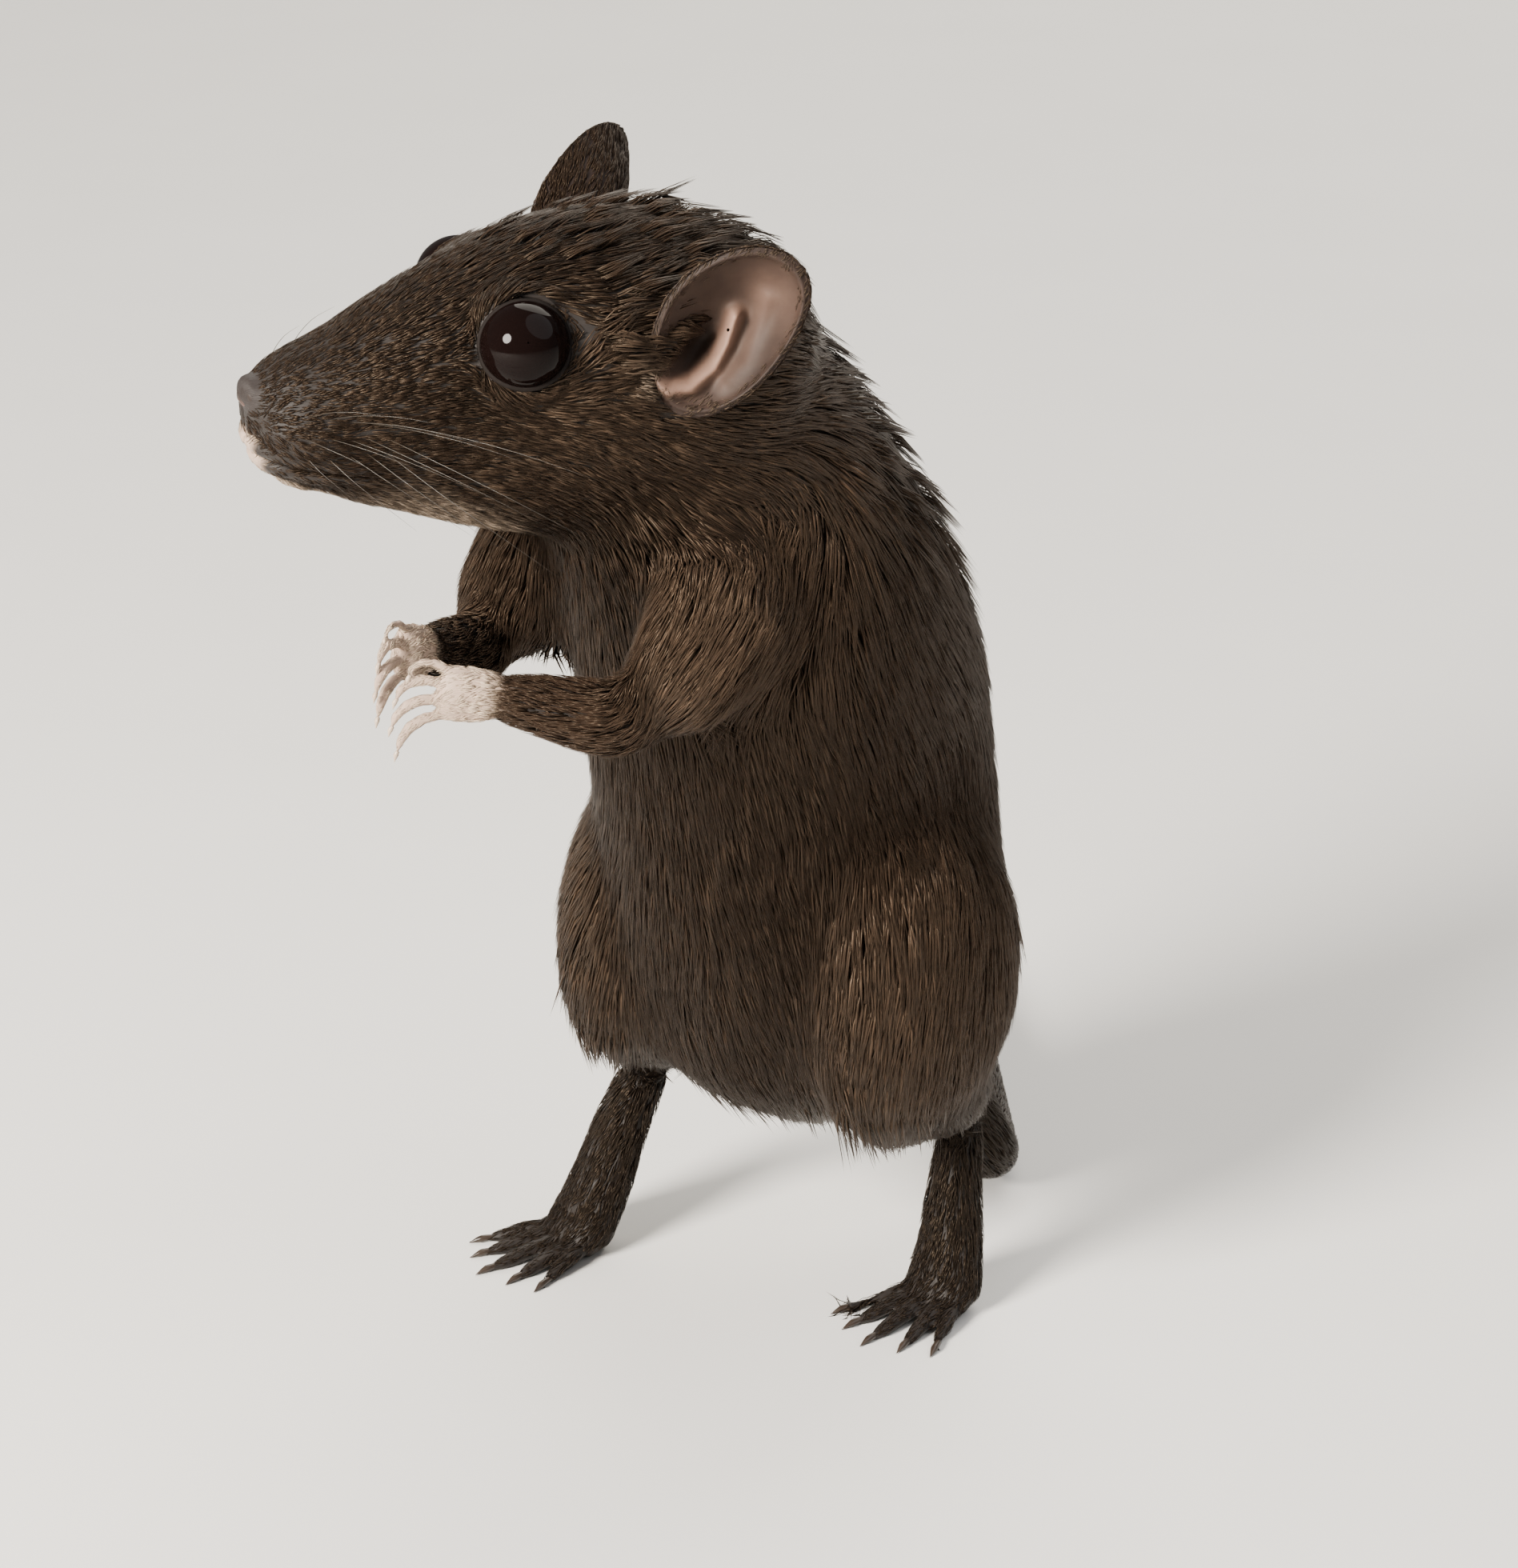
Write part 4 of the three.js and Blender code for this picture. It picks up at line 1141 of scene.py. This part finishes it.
def make_lids(side):
    outward, forward, upward = eye_frame(side)
    around = np.linspace(0, 2 * math.pi, 72, endpoint=False)
    rows = []
    for above, past in LID_SECTION:
        polar = lid_angle(around) + past
        flat = np.cos(around)[:, None] * forward + np.sin(around)[:, None] * upward
        way = np.cos(polar)[:, None] * outward + np.sin(polar)[:, None] * flat
        swell = 1 + 0.3 * np.sin(around)
        rows.append(EYES[side] + way * (EYE_RADIUS + above * swell * MM)[:, None])
    faces = ring_quads(len(rows), len(around))
    if SIDES[side] < 0:
        faces = faces[:, ::-1]
    lids = build_object(f"lids_{side}", np.concatenate(rows), faces, LID)
    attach(lids, BODY)


# Ear skin and its hair
EAR_AROUND = 96
EAR_SHARES = np.concatenate([np.linspace(0.02, 0.84, 30), np.linspace(0.87, 1.0, 7)])


def path_distance(x, y, path):
    best = np.full(len(x), np.inf)
    for (x0, y0), (x1, y1) in zip(path, path[1:]):
        ahead, aside = x1 - x0, y1 - y0
        share = np.clip(((x - x0) * ahead + (y - y0) * aside) / (ahead ** 2 + aside ** 2), 0, 1)
        best = np.minimum(best, np.hypot(x - x0 - share * ahead, y - y0 - share * aside))
    return best


def ear_side(share, around, is_front):
    """Forward, outward and upward places of one side of the ear's skin, and how pink it is, with painted
    shade darkening the pink in the canal and over the lower rear of the cup.
    """
    wide, high = ear_halves(around)
    forward = np.cos(around) * share * wide
    up = np.sin(around) * share * high
    out = ear_hollow(forward, up)
    if not is_front:
        return np.stack([forward, out, up], axis=1), np.zeros(len(share))
    out = out + EAR_THICK * smooth_step(1.02, 0.9, share) + 0.25 * np.exp(-((share - 0.93) / 0.04) ** 2)
    pink = 0.05 + 0.11 * np.exp(-((forward + 0.6) / 2.0) ** 2 - ((up - 3.9) / 1.5) ** 2)
    for path, height, half, tint in EAR_RIDGES:
        ridge = np.exp(-(path_distance(forward, up, path) / half) ** 2) * smooth_step(1.0, 0.85, share)
        out = out + height * ridge
        pink = pink + tint * ridge
    # The pink is painted darker over the canal and over the lower rear of the cup: painted shade.
    canal = np.exp(-((forward - CANAL[0]) / 1.1) ** 2 - ((up - CANAL[1]) / 1.7) ** 2)
    shade = np.exp(-((forward + 3.4) / 1.2) ** 2 - ((up + 1.2) / 3.4) ** 2)
    pink = pink * (1 - 0.9 * canal) * (1 - 0.7 * shade) * smooth_step(1.0, 0.84, share)
    return np.stack([forward, out, up], axis=1), pink


def make_ear(side):
    middle, axes = ear_frame(side)
    around = np.tile(np.linspace(0, 2 * math.pi, EAR_AROUND, endpoint=False), len(EAR_SHARES))
    share = np.repeat(EAR_SHARES, EAR_AROUND)
    front, pink = ear_side(share, around, True)
    back, plain = ear_side(share[::-1], around, False)
    rim = back[:EAR_AROUND] * [1.02, 1, 1.02] + [0, 0.1, 0]
    local = np.concatenate([front, rim, back])
    verts = middle + local @ axes * MM
    faces = ring_quads(len(EAR_SHARES) * 2 + 1, EAR_AROUND)
    if SIDES[side] > 0:
        faces = faces[:, ::-1]
    ear = build_object(f"ear_skin_{side}", verts, faces, EAR)
    set_attribute(ear, "pink", np.concatenate([pink, plain[:EAR_AROUND], plain]))
    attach(ear, BODY)
    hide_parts(f"ear_{side}")
    corner = 0.02
    layout = np.tile(np.array([(0, 0), (corner, 0), (corner, corner), (0, corner)]), (len(faces), 1, 1))
    return make_surface(verts, faces, layout + 0.02)


def ear_down(side, surface):
    """Short hair on the back of an ear, a fringe on its rim and a few hairs inside."""
    middle, axes = ear_frame(side)

    def density(points):
        forward, out, up = to_ear(side, points)
        rim = ear_share(forward, up)
        return np.where(rim > 0.84, 34, 22)

    roots, normals, places = scatter(surface, density)
    forward, out, up = to_ear(side, roots)
    rim = ear_share(forward, up)
    outer = normals @ axes[1] < 0.1
    keep = outer | (draw.random(len(roots)) < 0.6 * smooth_step(0.72, 0.95, rim))
    roots, normals, places, outer, rim = roots[keep], normals[keep], places[keep], outer[keep], rim[keep]
    count = len(roots)
    flow = axes[2] + 0.5 * unit(roots - middle) + draw.normal(0, 0.15, (count, 3))
    length = np.where(outer, 1.3, 0.7) * draw.uniform(0.6, 1.1, count) * MM
    height = np.where(outer, 0.16, 0.12) * draw.uniform(0.5, 1.2, count) * MM
    width = np.where(outer, 0.09, 0.06) * draw.uniform(0.7, 1.2, count) * MM
    leader = clump_leaders(roots)
    lines, ups = lay_lines(surface, roots, normals, flow, length, height, leader, np.zeros(count))
    pale = np.where(outer, 0.0, 0.06)
    make_coat(f"coat_ear_{side}", lines, ups, width, places, pale)


# Nose
def make_nose():
    points, faces = sphere_grid(72, 48)
    forward, sideways, up = points[:, 0], points[:, 1], points[:, 2]
    nostril = np.zeros(len(points))
    for sign in (-1, 1):
        across = sideways * sign
        slant = up + 0.02 + 0.6 * (across - 0.5)
        nostril += np.exp(-((across - 0.5) / 0.2) ** 2 - (slant / 0.32) ** 2) * (forward > 0)
    groove = np.exp(-(sideways / 0.12) ** 2) * smooth_step(0.2, -0.6, up) * (forward > 0)
    scale = 1 - 0.40 * nostril - 0.14 * groove
    local = points * scale[:, None] * NOSE_SIZE
    nose = build_object("nose", NOSE_PLACE + (local * MM) @ HEAD_TURN.T, faces, NOSE)
    set_attribute(nose, "pink", 0.8 * smooth_step(-0.1, -0.7, up) * (1 - np.minimum(1, nostril)))
    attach(nose, BODY)


# Claws and whiskers
def make_claws(name, lines, thick, reach, mat):
    parts = []
    for line in lines:
        tip = line[-1]
        way = unit(line[-1] - line[-2])
        droop = np.array([0, 0, -0.35])
        path = [tip - way * reach * 0.7, tip - way * reach * 0.1 + [0, 0, 0.1 * MM],
                tip + unit(way + droop) * reach * 0.45]
        path[-1][2] = max(path[-1][2], 0.08 * MM)
        parts.append(tube(path, [thick * 0.8, thick, thick * 0.08], rings=9, sides=8))
    verts, faces = merge(parts)
    verts[:, 2] = np.maximum(verts[:, 2], SOLE_UP)
    claws = build_object(name, verts, faces, mat)
    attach(claws, BODY)


WHISKER_ROWS = 3
WHISKERS_IN_ROW = 5


def make_whiskers(side, surface):
    sign = SIDES[side]
    parts = []
    for row in range(WHISKER_ROWS):
        for place in range(WHISKERS_IN_ROW):
            guess = in_head(22.6 - place * 1.2, sign * (4.0 + place * 0.45), -0.9 - row * 1.1)
            root, normal = nearest(surface, [guess])
            root, normal = root[0], normal[0]
            long = (4.5 + place * 2.2 - row * 0.5 + draw.uniform(-1, 1)) * MM
            way = unit(normal * 0.55 + head_way(-0.75, sign * 0.5, 0.16 - row * 0.22))
            bend = head_way(-0.5, 0.1 * sign, -0.35)
            path = [root - normal * 0.2 * MM, root + way * long * 0.35,
                    root + way * long * 0.7 + bend * long * 0.08, root + way * long + bend * long * 0.25]
            parts.append(tube(path, [0.035 * MM, 0.03 * MM, 0.02 * MM, 0.006 * MM], rings=10, sides=3))
    whiskers = build_object(f"whiskers_{side}", *merge(parts), WHISKER)
    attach(whiskers, BODY)


skin_surface = make_skin()
grow_coat(skin_surface)
make_nose()
for side in SIDES:
    make_eye(side)
    make_lids(side)
    ear_down(side, make_ear(side))
    make_claws(f"claws_fore_{side}", finger_lines(side), 0.18 * MM, 0.7 * MM, CLAW_PALE)
    make_claws(f"claws_hind_{side}", toe_lines(side), 0.28 * MM, 1.9 * MM, CLAW_DARK)
    make_whiskers(side, skin_surface)


# Floor, light and camera
VIEW_AZIMUTH = math.radians(50)
VIEW_ELEVATION = math.radians(21)
VIEW_DISTANCE = 0.300
VIEW_LENS = 93.7
TARGET = in_design(0, -3.0, 40.8)


def direction(azimuth, elevation):
    """0 looks from the front, at -Y, and a quarter turn from +X."""
    return np.array([math.sin(azimuth) * math.cos(elevation), -math.cos(azimuth) * math.cos(elevation),
                     math.sin(elevation)])


def aim(obj, place, target):
    obj.location = place
    obj.rotation_euler = Vector(target - place).to_track_quat("-Z", "Y").to_euler()
    bpy.context.scene.collection.objects.link(obj)


def make_camera():
    camera = bpy.data.cameras.new("camera")
    camera.lens = VIEW_LENS
    camera.sensor_fit = "VERTICAL"
    camera.sensor_height = 36
    camera.clip_start = 0.01
    obj = bpy.data.objects.new("camera", camera)
    aim(obj, TARGET + direction(VIEW_AZIMUTH, VIEW_ELEVATION) * VIEW_DISTANCE, TARGET)
    bpy.context.scene.camera = obj


def make_light(name, azimuth, elevation, distance, size, power, colour):
    light = bpy.data.lights.new(name, "AREA")
    light.shape = "DISK"
    light.size = size
    light.energy = power
    light.color = colour
    obj = bpy.data.objects.new(name, light)
    azimuth = VIEW_AZIMUTH + math.radians(azimuth)
    aim(obj, TARGET + direction(azimuth, math.radians(elevation)) * distance, TARGET)


def make_floor():
    paint = Paint("floor", 0.9, Specular_IOR_Level=0.2)
    plain = paint.coloured(paint.mix(paint.grain(30, 3.0), (0.64, 0.63, 0.61), (0.68, 0.67, 0.65)))
    half = 3.0
    corners = np.array([(-half, -half, 0), (half, -half, 0), (half, half, 0), (-half, half, 0)])
    floor = build_object("floor", corners, np.array([(0, 1, 2, 3)]), plain, smooth=False)


def make_world():
    world = bpy.data.worlds.new("world")
    world.use_nodes = True
    world.node_tree.nodes["Background"].inputs["Color"].default_value = (0.92, 0.90, 0.87, 1)
    world.node_tree.nodes["Background"].inputs["Strength"].default_value = 0.30
    bpy.context.scene.world = world


make_camera()
make_floor()
make_world()
make_light("key", -45, 28, 0.55, 0.2, 13.5, (1.0, 0.93, 0.84))
make_light("fill", 72, 52, 1.3, 1.6, 12.0, (0.98, 0.98, 1.0))
make_light("rim", 165, 45, 1.1, 1.0, 15.0, (1.0, 0.94, 0.84))
